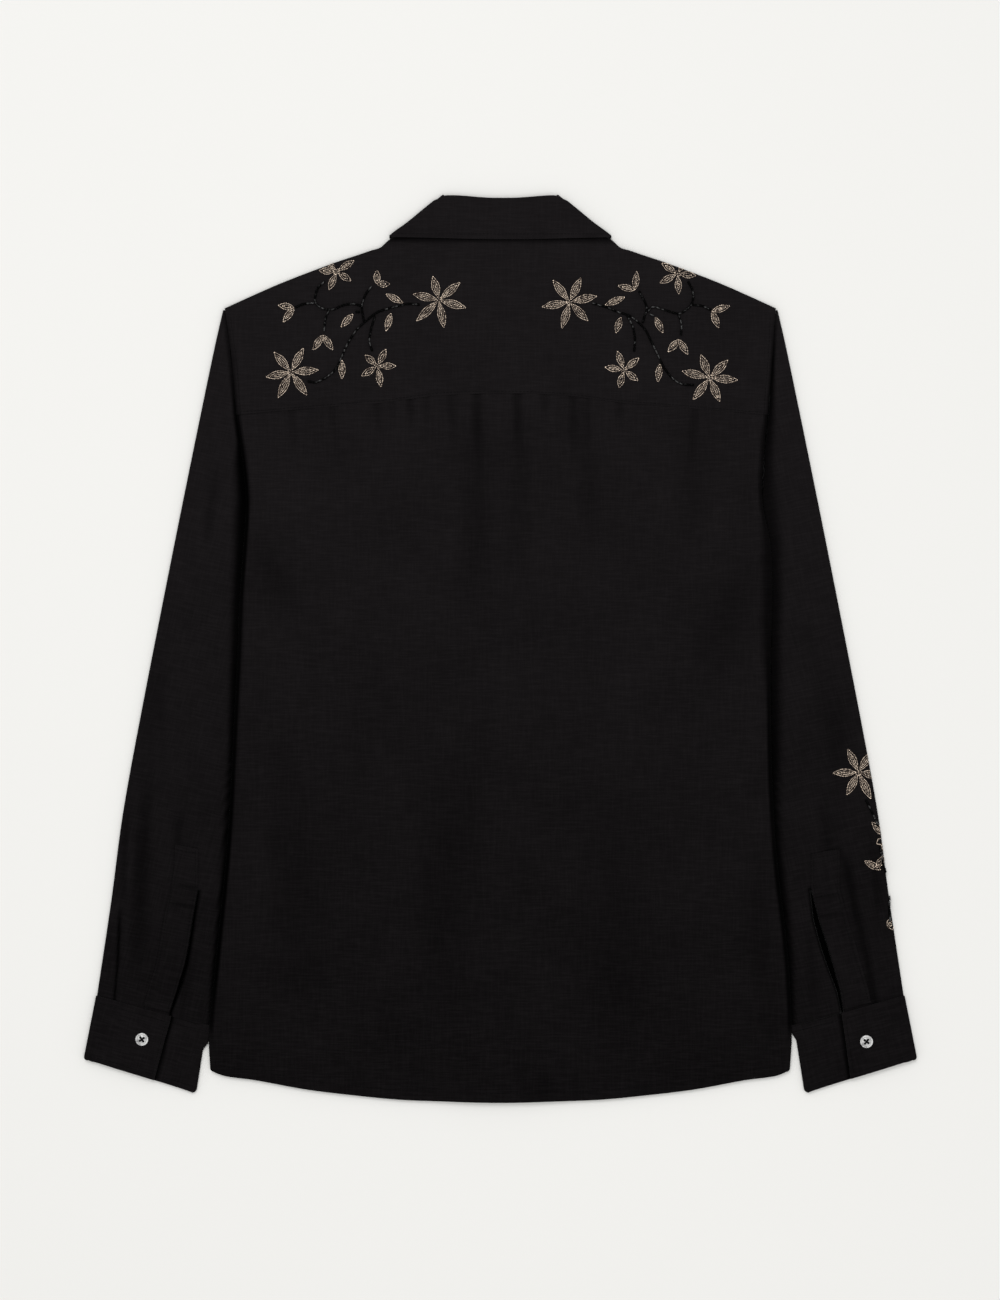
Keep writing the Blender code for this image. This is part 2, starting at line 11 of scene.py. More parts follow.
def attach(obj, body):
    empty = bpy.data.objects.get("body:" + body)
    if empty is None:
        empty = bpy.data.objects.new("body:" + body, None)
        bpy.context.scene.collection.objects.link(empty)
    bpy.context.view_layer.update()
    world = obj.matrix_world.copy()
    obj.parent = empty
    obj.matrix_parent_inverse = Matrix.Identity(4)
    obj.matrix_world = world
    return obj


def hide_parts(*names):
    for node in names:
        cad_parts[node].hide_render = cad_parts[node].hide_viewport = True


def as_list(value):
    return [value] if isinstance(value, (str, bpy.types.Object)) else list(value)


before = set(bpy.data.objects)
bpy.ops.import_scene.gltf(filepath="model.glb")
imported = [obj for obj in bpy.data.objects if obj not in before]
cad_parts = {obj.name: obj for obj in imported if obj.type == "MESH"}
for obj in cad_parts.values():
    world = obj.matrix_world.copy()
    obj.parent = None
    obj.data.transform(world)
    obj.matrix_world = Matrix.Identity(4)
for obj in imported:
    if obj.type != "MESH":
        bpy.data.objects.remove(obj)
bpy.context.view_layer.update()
print("packed shirt loaded")

# A black long-sleeved shirt with beaded flowers, laid face down, back up.
# Tables are in millimetres: "down" from the collar's top fold, "out" from the centre back.
# Side -1 is the wearer's left, at -X, and side 1 the wearer's right.

mm = 0.001

lay = {
    "topY": 385.2,  # the collar's top fold, from the middle of the shirt
    "wall": 1, "seam": 0.3, "lap": 1.3,
    "frontZ": 0.5, "backZ": 3.2, "edgeZ": 1.8,
    "neckRise": 0.3, "ridgeRise": 2.05, "ridgeFlat": 18, "ridgeEase": 57,
    "tuckRise": 2.6, "tuckShare": 0.54, "tuckMargin": 16, "tuckEase": 34,
    "collarReach": 121, "collarEase": 29,
}

handName = {-1: "left", 1: "right"}
random.seed(41)


def smooth(t):
    t = min(max(t, 0), 1)
    return t * t * (3 - 2 * t)


def mix(a, b, t):
    return a + (b - a) * t


def steps(count):
    return [i / count for i in range(count + 1)]


def lookUp(rows, key, column=1):
    if key <= rows[0][0]:
        return rows[0][column]
    for low, high in zip(rows, rows[1:]):
        if key <= high[0]:
            return mix(low[column], high[column], (key - low[0]) / (high[0] - low[0]))
    return rows[-1][column]


def curve(points):
    # smooth line through points, read by its share of the way along
    knots = [Vector(p) for p in points]
    marks = [0]
    for a, b in zip(knots, knots[1:]):
        marks.append(marks[-1] + (b - a).length)
    slopes = []
    for k in range(len(knots)):
        before, after = max(k - 1, 0), min(k + 1, len(knots) - 1)
        slopes.append((knots[after] - knots[before]) / (marks[after] - marks[before]))

    def at(share):
        run = share * marks[-1]
        k = min(max(bisect_right(marks, run) - 1, 0), len(knots) - 2)
        span = marks[k + 1] - marks[k]
        t = (run - marks[k]) / span
        return ((2 * t ** 3 - 3 * t ** 2 + 1) * knots[k] + (t ** 3 - 2 * t ** 2 + t) * span * slopes[k]
                + (3 * t ** 2 - 2 * t ** 3) * knots[k + 1] + (t ** 3 - t ** 2) * span * slopes[k + 1])

    at.length = marks[-1]
    return at


def chain(*parts):
    # several lines end to end, read as one
    total = sum(part.length for part in parts)

    def at(share):
        run = share * total
        for part in parts[:-1]:
            if run <= part.length:
                return part(run / part.length)
            run -= part.length
        return parts[-1](min(run / parts[-1].length, 1))

    at.length = total
    return at


def patch(top, bottom, left, right):
    # flat position inside four border lines
    topA, topB, lowA, lowB = top(0), top(1), bottom(0), bottom(1)

    def at(u, v):
        corners = (1 - u) * (1 - v) * topA + u * (1 - v) * topB + (1 - u) * v * lowA + u * v * lowB
        return (1 - v) * top(u) + v * bottom(u) + (1 - u) * left(v) + u * right(v) - corners
    return at


# finishes

def newGroup(name, inputs, outputs):
    group = bpy.data.node_groups.new(name, "ShaderNodeTree")
    for label, kind, value in inputs:
        socket = group.interface.new_socket(label, in_out="INPUT", socket_type=kind)
        socket.default_value = value
    for label, kind in outputs:
        group.interface.new_socket(label, in_out="OUTPUT", socket_type=kind)
    return group, group.nodes.new("NodeGroupInput"), group.nodes.new("NodeGroupOutput")


def addNode(tree, kind, values=(), **settings):
    # a node with its settings, and its unlinked sockets by name or number
    node = tree.nodes.new(kind)
    for key, value in settings.items():
        setattr(node, key, value)
    for key, value in dict(values).items():
        node.inputs[key].default_value = value
    return node


def mathNode(tree, operation, a, b=None):
    node = tree.nodes.new("ShaderNodeMath")
    node.operation = operation
    for i, value in enumerate((a, b)):
        if value is None:
            continue
        if isinstance(value, (int, float)):
            node.inputs[i].default_value = value
        else:
            tree.links.new(value, node.inputs[i])
    return node.outputs[0]


def arithmetic(tree):
    # plus, minus and times for values in this tree
    return [lambda a, b, kind=kind: mathNode(tree, kind, a, b) for kind in ("ADD", "SUBTRACT", "MULTIPLY")]


def rangeNode(tree, value, low, high, outLow=0, outHigh=1):
    node = addNode(tree, "ShaderNodeMapRange", {1: low, 2: high, 3: outLow, 4: outHigh})
    tree.links.new(value, node.inputs[0])
    return node.outputs[0]


def mixColor(tree, share, a, b):
    node = addNode(tree, "ShaderNodeMix", data_type="RGBA")
    for socket, value in ((0, share), (6, a), (7, b)):
        if isinstance(value, (int, float, tuple)):
            node.inputs[socket].default_value = value
        else:
            tree.links.new(value, node.inputs[socket])
    return node.outputs[2]


def makeSlubCloth():
    # plain weave with thick and thin threads both ways, with a painted sheen lighter towards the shoulders and
    # painted shade in the folds
    group, given, out = newGroup("slubCloth", (
        ("Grain Angle", "NodeSocketFloat", 0), ("Thread Pitch", "NodeSocketFloat", 0.00062),
        ("Slub Strength", "NodeSocketFloat", 1), ("Fade", "NodeSocketFloat", 0.5),
        ("Painted Shade Beneath", "NodeSocketFloat", 1),
        ("Dark And Shade Color", "NodeSocketColor", (0.002, 0.002, 0.002, 1)),
        ("Pale Color", "NodeSocketColor", (0.01, 0.01, 0.01, 1))),
        (("Color", "NodeSocketColor"), ("Roughness", "NodeSocketFloat"), ("Height", "NodeSocketFloat")))
    link = group.links.new
    plus, minus, times = arithmetic(group)
    place = addNode(group, "ShaderNodeTexCoord").outputs["Object"]
    turn = addNode(group, "ShaderNodeVectorRotate", rotation_type="Z_AXIS")
    link(place, turn.inputs["Vector"])
    link(given.outputs["Grain Angle"], turn.inputs["Angle"])
    grain = turn.outputs[0]

    def slubs(alongX, acrossScale):
        # long thin flecks that follow the threads
        stretch = addNode(group, "ShaderNodeMapping", {
            "Scale": (62, acrossScale, 60) if alongX else (acrossScale, 50, 60)})
        link(grain, stretch.inputs["Vector"])
        fleck = addNode(group, "ShaderNodeTexNoise", {"Scale": 1, "Detail": 3, "Roughness": 0.62})
        link(stretch.outputs[0], fleck.inputs["Vector"])
        return rangeNode(group, fleck.outputs[0], 0.42, 0.68)

    weft, warp = slubs(True, 780), slubs(False, 700)
    split = addNode(group, "ShaderNodeSeparateXYZ")
    link(grain, split.inputs[0])
    threads = []
    for axis in (0, 1):
        turns = mathNode(group, "DIVIDE", split.outputs[axis], given.outputs["Thread Pitch"])
        threads.append(times(mathNode(group, "SINE", times(turns, 2 * math.pi)), 0.5))
    weave = times(times(*threads), 2)
    cloud = addNode(group, "ShaderNodeTexNoise", {"Scale": 13, "Detail": 4, "Roughness": 0.55})
    link(place, cloud.inputs["Vector"])
    # painted sheen: the cloth is painted lighter towards the collar and darker towards the hem
    sheenSplit = addNode(group, "ShaderNodeSeparateXYZ")
    link(place, sheenSplit.inputs[0])
    fall = rangeNode(group, sheenSplit.outputs[1], -0.36, 0.36)
    # the painted fold shade shows on faces that look down only as far as the beneath input allows
    facing = addNode(group, "ShaderNodeSeparateXYZ")
    link(addNode(group, "ShaderNodeNewGeometry").outputs["Normal"], facing.inputs[0])
    above = rangeNode(group, facing.outputs[2], -0.6, -0.2)
    above = mathNode(group, "MAXIMUM", above, given.outputs["Painted Shade Beneath"])
    # the fold attribute carries painted shade in folds and grooves, and painted light on ridges
    fold = addNode(group, "ShaderNodeAttribute", attribute_name="fold").outputs["Fac"]
    fold = times(fold, above)

    slub = plus(times(weft, 0.62), times(warp, 0.38))
    slub = times(minus(slub, 0.35), given.outputs["Slub Strength"])
    fleckTone = plus(times(slub, 0.31), times(weave, 0.10))
    clouds = times(minus(cloud.outputs[0], 0.5), 0.36)
    fade = plus(times(fall, 0.45), given.outputs["Fade"])
    # the painted fold shade pulls the tone towards the dark colour
    tone = times(plus(plus(fade, clouds), fleckTone), minus(1, fold))
    share = rangeNode(group, tone, 0, 1)
    link(mixColor(group, share, given.outputs["Dark And Shade Color"], given.outputs["Pale Color"]), out.inputs["Color"])
    link(rangeNode(group, slub, -0.4, 0.6, 0.96, 0.78), out.inputs["Roughness"])
    link(plus(times(slub, 0.6), times(weave, 0.5)), out.inputs["Height"])
    return group


def makeCloudedPearl():
    # soft clouds of tone and gloss; Glint comes and goes in larger patches
    group, given, out = newGroup("cloudedPearl", (
        ("Cloud Size", "NodeSocketFloat", 300), ("Light Color", "NodeSocketColor", (0.8, 0.8, 0.78, 1)),
        ("Dark Color", "NodeSocketColor", (0.5, 0.5, 0.5, 1)), ("Gloss Low", "NodeSocketFloat", 0.12),
        ("Gloss High", "NodeSocketFloat", 0.32), ("Contrast", "NodeSocketFloat", 1)),
        (("Color", "NodeSocketColor"), ("Roughness", "NodeSocketFloat"), ("Height", "NodeSocketFloat"),
         ("Glint", "NodeSocketFloat")))
    link = group.links.new
    plus, minus, times = arithmetic(group)
    place = addNode(group, "ShaderNodeTexCoord").outputs["Object"]
    drift = addNode(group, "ShaderNodeTexNoise", {"Scale": 105, "Detail": 2, "Roughness": 0.7})
    link(place, drift.inputs["Vector"])
    link(rangeNode(group, drift.outputs[0], 0.50, 0.56), out.inputs["Glint"])
    cloud = addNode(group, "ShaderNodeTexNoise", {"Detail": 5, "Roughness": 0.6, "Distortion": 1.2})
    link(place, cloud.inputs["Vector"])
    link(given.outputs["Cloud Size"], cloud.inputs["Scale"])
    share = rangeNode(group, cloud.outputs[0], 0.3, 0.7)
    strong = plus(times(minus(share, 0.5), given.outputs["Contrast"]), 0.5)
    link(mixColor(group, strong, given.outputs["Dark Color"], given.outputs["Light Color"]), out.inputs["Color"])
    gloss = times(share, minus(given.outputs["Gloss High"], given.outputs["Gloss Low"]))
    link(plus(gloss, given.outputs["Gloss Low"]), out.inputs["Roughness"])
    link(share, out.inputs["Height"])
    return group


slubCloth = makeSlubCloth()
cloudedPearl = makeCloudedPearl()


def newMaterial(name, group, values, bump, shader):
    material = bpy.data.materials.new(name)
    material.use_nodes = True
    tree = material.node_tree
    principled = tree.nodes["Principled BSDF"]
    for key, value in shader.items():
        principled.inputs[key].default_value = value
    effect = tree.nodes.new("ShaderNodeGroup")
    effect.node_tree = group
    for key, value in values.items():
        effect.inputs[key].default_value = value
    tree.links.new(effect.outputs["Color"], principled.inputs["Base Color"])
    tree.links.new(effect.outputs["Roughness"], principled.inputs["Roughness"])
    relief = addNode(tree, "ShaderNodeBump", {"Strength": bump[0], "Distance": bump[1]})
    tree.links.new(effect.outputs["Height"], relief.inputs["Height"])
    tree.links.new(relief.outputs["Normal"], principled.inputs["Normal"])
    return material


# the dark colour is the cloth's darkest tone and the colour of its painted shade; the light colour is its palest
# tone, which the painted sheen reaches towards the collar
clothLook = {
    "deep": (0.00015, 0.00012, 0.00015, 1), "paleTone": (0.0108, 0.0094, 0.0100, 1),
    "fade": 0.46, "pitch": 0.00062, "slubs": 1, "bump": (0.35, 0.0003),
    "shader": {"Specular IOR Level": 0.012, "Sheen Weight": 0.04, "Sheen Roughness": 0.3},
}


def blackCloth(name, angle=0, fade=0, beneath=1):
    # beneath is how much of the painted fold shade shows where the cloth looks down
    values = {"Grain Angle": angle, "Thread Pitch": clothLook["pitch"], "Slub Strength": clothLook["slubs"],
              "Fade": clothLook["fade"] + fade, "Painted Shade Beneath": beneath,
              "Dark And Shade Color": clothLook["deep"], "Pale Color": clothLook["paleTone"]}
    return newMaterial(name, slubCloth, values, clothLook["bump"], clothLook["shader"])


bodyCloth = blackCloth("bodyCloth")
collarCloth = blackCloth("collarCloth", fade=-0.05)
sleeveCloth = {-1: blackCloth("sleeveClothLeft", math.radians(13), beneath=0),
               1: blackCloth("sleeveClothRight", math.radians(-13), beneath=0)}
cuffCloth = {-1: blackCloth("cuffClothLeft", math.radians(15), 0.08),
             1: blackCloth("cuffClothRight", math.radians(-15), 0.08)}
blackThread = newMaterial(
    "blackThread", slubCloth,
    {"Grain Angle": 0.6, "Thread Pitch": 0.00025, "Slub Strength": 1, "Fade": 0.3,
     "Dark And Shade Color": (0.0012, 0.0011, 0.0012, 1), "Pale Color": (0.006, 0.0056, 0.006, 1)},
    (0.3, 0.0001), {"Specular IOR Level": 0.06})
pearl = newMaterial(
    "pearl", cloudedPearl,
    {"Cloud Size": 330, "Light Color": (0.80, 0.80, 0.78, 1), "Dark Color": (0.13, 0.13, 0.135, 1)},
    (0.1, 0.0001), {"Coat Weight": 0.35, "Coat Roughness": 0.12})
champagneBead = newMaterial(
    "champagneBead", cloudedPearl,
    {"Cloud Size": 560, "Light Color": (0.98, 0.80, 0.63, 1), "Dark Color": (0.08, 0.05, 0.035, 1),
     "Contrast": 2.6, "Gloss Low": 0.18, "Gloss High": 0.4},
    (0.1, 0.0001), {"Coat Weight": 0.4, "Coat Roughness": 0.1})
jetBead = newMaterial(
    "jetBead", cloudedPearl,
    {"Cloud Size": 500, "Light Color": (0.002, 0.002, 0.002, 1), "Dark Color": (0.0006, 0.0006, 0.0006, 1),
     "Gloss Low": 0.06, "Gloss High": 0.16},
    (0.1, 0.0001), {"Specular IOR Level": 0.02, "Coat Roughness": 0.05})
jetTree = jetBead.node_tree
jetEffect = next(node for node in jetTree.nodes if node.type == "GROUP")
jetTree.links.new(jetEffect.outputs["Glint"], jetTree.nodes["Principled BSDF"].inputs["Coat Weight"])
print("finishes made")


# making and joining meshes

def toWorld(x, down, z):
    return Vector((x * mm, (lay["topY"] - down) * mm, z * mm))


def addPiece(name, mesh, material, slot, nodes=()):
    item = bpy.data.objects.new(name, mesh)
    mesh.materials.append(material)
    bpy.context.scene.collection.objects.link(item)
    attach(item, "root")
    if nodes:
        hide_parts(*nodes)
    return item


def sewCloth(name, rows, material, nodes, wall, rimRound=0.28):
    # thin cloth around a sheet of (across, down, height, painted fold shade); None leaves a place out
    mesh = bpy.data.meshes.new(name)
    bm = bmesh.new()
    # the fold attribute holds painted shade, negative where ridges are painted lighter
    tone = bm.verts.layers.float.new("fold")
    grid = []
    for row in rows:
        line = []
        for p in row:
            vert = None
            if p:
                vert = bm.verts.new(toWorld(p[0], p[1], p[2]))
                vert[tone] = p[3] if len(p) > 3 else 0
            line.append(vert)
        grid.append(line)
    for near, far in zip(grid, grid[1:]):
        for a, b, c, d in zip(near, near[1:], far[1:], far):
            if a and b and c and d:
                bm.faces.new((a, d, c, b))
    bmesh.ops.remove_doubles(bm, verts=bm.verts, dist=2e-5)
    bmesh.ops.recalc_face_normals(bm, faces=bm.faces)
    for face in bm.faces:
        face.smooth = True
    bm.to_mesh(mesh)
    bm.free()
    item = addPiece(name, mesh, material, "black_cloth", nodes)
    shell = item.modifiers.new("cloth wall", "SOLIDIFY")
    shell.thickness = wall * mm
    shell.offset = 0
    shell.use_rim = True
    soft = item.modifiers.new("soft rim", "BEVEL")
    soft.width = rimRound * mm
    soft.segments = 2
    soft.limit_method = "ANGLE"
    soft.angle_limit = math.radians(55)
    return item


def creaseHeight(creases, x, down):
    # soft ridges (+) and troughs (-): from, to, half width, height, bow
    total = 0
    for x0, down0, x1, down1, half, height, bow in creases:
        runX, runDown = x1 - x0, down1 - down0
        run = math.hypot(runX, runDown)
        along = ((x - x0) * runX + (down - down0) * runDown) / (run * run)
        if not 0 < along < 1:
            continue
        away = ((x - x0) * runDown - (down - down0) * runX) / run - bow * math.sin(math.pi * along)
        near = away / half
        if abs(near) < 2.6:
            total += height * math.exp(-near * near) * math.sin(math.pi * along) ** 0.7
    return total


def paintedCreaseShading(height):
    # painted shade darkens the troughs, and painted light makes the ridges lighter
    return min(max(-0.42 * height, -0.12), 0.6)


def ripple(x, down, size, seed=0):
    # slow uneven lift, between -1 and 1
    return noise.noise(Vector((x / size + seed, down / size - seed, seed * 1.7)))


def pucker(distance, along, height, length=8.5, reach=7):
    # small uneven ripples where thread draws the cloth along a seam
    if distance > 4 * reach:
        return 0
    wave = math.sin(2 * math.pi * (along / length + 0.6 * noise.noise(Vector((along / 21, 3.1, height)))))
    return height * wave * math.exp(-max(distance, 0) / reach)


# body

bodyCut = {
    "shoulder": ((80.75, 28.57), (95.6, 40.3), (101.5, 45.6), (110.5, 48.4), (153, 63.6), (187.6, 77),
                 (234, 97.6)),
    "frontSeam": ((100, 68), (150, 87), (190, 103.5)),
    "frontSeamEnd": 122.5, "frontSeamAngle": math.radians(33),
    "yokeSeam": ((0, 169), (52, 170.5), (100, 176.5), (147, 180.3), (191, 184), (225.5, 187)),
    "hem": ((0, 771.7), (50, 770.6), (85, 769.3), (124, 765.6), (165, 760.6), (209, 752.6),
            (234, 749.2), (247, 744.6)),
    "frontHemShort": 2.5, "bandHalf": 15, "bandEase": (20, 40),
    # armhole and side: down, out at the wearer's left, out at the wearer's right
    "edge": ((96, 234.5, 234), (141, 228.5, 231.5), (191, 224.5, 227.5), (225, 219.5, 224),
             (259, 216.5, 223), (302, 219, 230.5), (344, 222, 231.5), (395, 224, 230),
             (463, 227.5, 230.5), (514, 230, 232), (565, 233.5, 235.5), (650, 242, 245),
             (712, 248, 248), (745, 247, 246.5)),
    # gathers under the yoke: across, depth, length
    "gathers": ((-179, 0.4, 46), (-143.5, 0.5, 48), (-105.7, 0.7, 38), (-94.7, 0.45, 30),
                (-77.5, 0.8, 26), (-65.8, 0.5, 44), (-43, 0.6, 40), (-21.5, 0.85, 66), (13, 0.85, 50),
                (36, 0.5, 26), (60.5, 0.85, 58), (71, 0.65, 44), (100, 0.55, 30), (163, 0.55, 54)),
    "gatherHalf": 5.6, "wall": 0.9, "hemDeep": 8, "hemRound": 2.2, "seamTuck": 0.35,
}
tuckLine = ((195, 268), (215, 243), (232, 216), (286, 207), (315, 190), (350, 160),
            (390, 135), (430, 128), (475, 137), (523, 158), (586, 186), (652, 215),
            (706.5, 249.6), (735, 276), (769, 300))

# Creases of the back: from (across, down), to (across, down), half width, height, bow
backCreases = (
    (-62, 182, -58, 330, 13, 0.55, 3), (-104, 186, -112, 300, 15, 0.45, -3),
    (-20, 176, -26, 360, 14, -0.55, 3), (17, 176, 20, 330, 13, -0.5, -2),
    (42, 180, 46, 420, 17, 0.5, 4), (70, 180, 74, 300, 11, -0.5, 2),
    (104, 186, 128, 420, 20, 0.5, 6), (-150, 190, -158, 400, 20, 0.5, -5),
    (166, 192, 158, 330, 16, -0.45, 3), (-196, 262, -128, 330, 14, 0.8, -7),
    (-208, 288, -150, 372, 16, -0.6, -6), (206, 272, 140, 322, 14, 0.7, 7),
    (214, 302, 168, 400, 17, -0.6, 6), (-222, 420, -214, 640, 14, 0.5, 3),
    (-190, 470, -176, 700, 24, -0.5, 6), (-120, 430, -96, 690, 30, 0.45, 6.9),
    (-40, 470, -52, 720, 28, -0.4, -7), (34, 440, 22, 640, 26, 0.4, 7),
    (96, 500, 110, 730, 26, -0.45, -6), (160, 420, 172, 660, 24, 0.5, 5),
    (222, 500, 206, 512, 7, -0.5, 1), (214, 560, 224, 726, 13, -0.45, 3),
    (-232, 690, -150, 722, 14, 0.4, 5), (232, 664, 160, 700, 13, 0.4, -5),
)
# Creases of the fronts, which rise off the table
frontCreases = (
    (-198, 250, -96, 330, 12, 0.8, 6.9), (-60, 180, -72, 420, 15, 0.7, 5),
    (-130, 330, -112, 640, 20, 0.8, 6.9), (-176, 420, -190, 700, 15, 0.75, 5),
    (-46, 470, -58, 740, 13, 0.6, 5), (-90, 140, -150, 240, 12, 0.6, -5),
    (198, 256, 90, 346, 12, 0.8, -8), (62, 190, 76, 400, 14, 0.7, -4),
    (122, 340, 108, 620, 22, 0.8, 6), (180, 400, 190, 690, 15, 0.75, 5),
    (54, 520, 64, 750, 12, 0.6, 4), (92, 150, 158, 236, 12, 0.6, 5),
)


def edgeOut(side, down):
    return lookUp(bodyCut["edge"], down, 1 if side < 0 else 2)


def bodyEdge(side, start, end, inset):
    downs = [start] + [row[0] for row in bodyCut["edge"] if start < row[0] < end] + [end]
    return curve([(side * (edgeOut(side, d) - inset), d) for d in downs])


def mirrored(points, side):
    return [(side * out, down) for out, down in points]


def whole(points, shift=0):
    half = [(out, down + shift) for out, down in points]
    return curve([(-out, down) for out, down in reversed(half[1:])] + half)


def collarLift(x, down):
    reach = math.hypot(x, down - collarCut["neckCentre"])
    return lay["lap"] * smooth((lay["collarReach"] + lay["collarEase"] - reach) / lay["collarEase"])


def tuckLift(x, down):
    start = lookUp(tuckLine, down) - lay["tuckMargin"] - lay["tuckEase"]
    return lay["tuckRise"] * smooth((abs(x) - start) / lay["tuckEase"])


def frontZ(x, down):
    return lay["frontZ"] + collarLift(x, down) + tuckLift(x, down)


def backZ(x, down):
    ridge = smooth((lay["ridgeFlat"] + lay["ridgeEase"] - abs(x)) / lay["ridgeEase"]) * smooth((down - 48) / 42)
    neck = lay["neckRise"] * smooth((75 - down) / 30)
    return lay["backZ"] + neck + lay["ridgeRise"] * ridge + lay["tuckShare"] * tuckLift(x, down)


collarCut = {
    "z": 2.66, "standH": 0.85, "fallH": 2.15, "rollDown": 1.15, "standWidth": 27.1, "fallWidth": 37,
    "bendOut": 47.5, "bendDown": 2.3, "bendRun": (48.1, 38), "neckCentre": 11.6, "rollRadius": 49.8,
    "pointRadius": 117.3, "pointAngle": math.radians(61.6), "endAngle": math.radians(89.5), "wall": 0.9,
    "sag": 2.2, "cornerDrop": 2, "bow": 1.7, "widen": 0.052,
}


def bendOut(width):
    c = collarCut
    return c["bendOut"] + (c["rollDown"] + width - c["bendDown"]) * c["bendRun"][0] / c["bendRun"][1]


def neckRadius(angle):
    c = collarCut
    startOut = bendOut(c["standWidth"])
    startDown = c["rollDown"] + c["standWidth"] - c["neckCentre"]
    start = math.atan2(startDown, startOut)
    share = (angle - start) / (c["endAngle"] - start)
    return mix(math.hypot(startOut, startDown), c["rollRadius"] + c["standWidth"], share)


def neckPoint(angle, side, gap=0):
    r = neckRadius(angle) + gap
    return Vector((side * r * math.cos(angle), collarCut["neckCentre"] + r * math.sin(angle)))


def neckArc(side, start, end, gap):
    return curve([neckPoint(mix(start, end, t), side, gap) for t in steps(6)])


def frontSeam(side, shift):
    corner = neckPoint(bodyCut["frontSeamAngle"], side, lay["seam"]) + Vector((0, shift))
    endDown = bodyCut["frontSeamEnd"] + shift
    end = (side * (edgeOut(side, endDown) - lay["seam"] / 2), endDown)
    return curve([corner] + [(side * out, down + shift) for out, down in bodyCut["frontSeam"]] + [end])


# painted shade in the groove between body and sleeve: down, then for left and for right
# its reach on the sleeve, its reach on the body, and its depth, how dark the shade is painted
grooveLook = (
    (100, 3, 2, 0.3, 3, 2, 0.3), (140, 4, 4, 0.55, 2.8, 1.8, 0.85),
    (174, 3.2, 3, 0.82, 5.5, 1.8, 0.82), (208, 3.2, 4.4, 0.93, 8.7, 5.6, 0.75),
    (228, 8.5, 5, 1, 10, 3, 0.72), (259, 10, 4.9, 1, 15, 2, 0.64),
    (276, 10.4, 4.8, 0.97, 13.5, 5, 0.63), (310, 8.8, 4, 0.94, 10.5, 11.4, 0.68),
    (361, 7.6, 5, 0.86, 10, 11.5, 0.7), (412, 7, 5, 0.92, 11.2, 6, 0.78),
    (463, 4.8, 5, 0.92, 10.2, 1.8, 0.86), (514, 4.5, 5, 0.97, 7.3, 1, 0.86),
    (565, 4.8, 4, 1, 5.9, 1, 0.88), (616, 3.5, 3.9, 1, 6.8, 1.7, 0.93),
    (667, 3.8, 2.7, 1, 5.3, 1, 0.85), (701, 1.8, 1.6, 0.8, 4, 1.7, 0.85))


def grooveShade(side, down, away):
    first = 1 if side < 0 else 4
    reach = lookUp(grooveLook, down, first if away > 0 else first + 1)
    return lookUp(grooveLook, down, first + 2) * smooth(1.25 - abs(away) / reach)


def sideShade(x, down):
    # painted shade where the body's edge dips beside the sleeve
    side = -1 if x < 0 else 1
    inset = edgeOut(side, down) - abs(x)
    return grooveShade(side, down, -inset) * smooth((down - 96) / 16) * smooth((722 - down) / 20)


def collarSweep(width, shares, onFall=True, trim=0):
    # places (out, down) round one half of the collar, at a distance from its fold
    c = collarCut
    bend = Vector((bendOut(width), c["rollDown"] + width))
    reach = math.hypot(bend.x, bend.y - c["neckCentre"])
    angle = math.atan2(bend.y - c["neckCentre"], bend.x)
    endReach, endAngle = c["rollRadius"] + width, c["endAngle"]
    if onFall:
        share = max(width, 0) / c["fallWidth"]
        endReach = mix(c["rollRadius"] + min(width, 0), c["pointRadius"], share)
        endAngle = mix(c["endAngle"], c["pointAngle"], share)
    places = []
    for t in shares:
        r, a = mix(reach, endReach, t), mix(angle, endAngle - trim, t)
        places.append((r * math.cos(a), c["neckCentre"] + r * math.sin(a)))
    return places


def makeCollar():
    c = collarCut
    rollR = (c["fallH"] - c["standH"]) / 2
    run = Vector(c["bendRun"]).normalized()
    outward = Vector((run.y, -run.x))
    across = [(c["standWidth"] * (1 - t), c["standH"]) for t in steps(9)]
    for turn in steps(8)[1:-1]:
        across.append((-rollR * math.sin(math.pi * turn),
                       (c["standH"] + c["fallH"]) / 2 - rollR * math.cos(math.pi * turn)))
    across += [(c["fallWidth"] * t, c["fallH"]) for t in steps(14)]

    def half(side, width, h):
        bend = Vector((bendOut(width), c["rollDown"] + width))
        sweep = collarSweep(width, reversed(steps(36)[1:]), h > c["standH"])
        points = [(side * out, down, c["z"] - h) for out, down in sweep]
        for turn in reversed(steps(10)):
            p = bend + outward * h * math.sin(math.pi * turn)
            points.append((side * p.x, p.y, c["z"] + h * math.cos(math.pi * turn)))
        return points

    def drape(p):
        # the fold sags between its rounded corners, the fall's edge hangs in a shallow bow
        x, down, z = p
        sag = c["sag"] * smooth((42 - abs(x - 2)) / 36) * smooth((22 - down) / 20)
        sag += c["cornerDrop"] * smooth((abs(x) - 43) / 8) * smooth((5 - down) / 5)
        bow = c["bow"] * smooth((abs(x - 6) - 8) / 90) + 0.6
        down2 = down + sag - bow * smooth((down - 20) / 16) * smooth((z - c["z"] + 1) / 2.4)
        return x * (1 + c["widen"] * max(1 - down / 37, 0)), down2, z

    rows = []
    for width, h in across:
        middle = []
        for t in [mix(-0.95, 0.95, s) for s in steps(38)]:
            x, down = bendOut(width) * t, c["rollDown"] + width
            lift = 0
            if h == c["fallH"]:
                lift = 0.25 * smooth(width / 8) * ripple(x, down, 38, 4)
                lift += pucker(c["fallWidth"] - width, x, 0.10) + 0.35 * smooth((width - 26) / 10)
            middle.append((x, down, c["z"] + h + lift))
        rows.append([drape(p) for p in half(-1, width, h) + middle + list(reversed(half(1, width, h)))])
    return sewCloth("collar_cloth", rows, collarCloth, ("collar",), c["wall"])


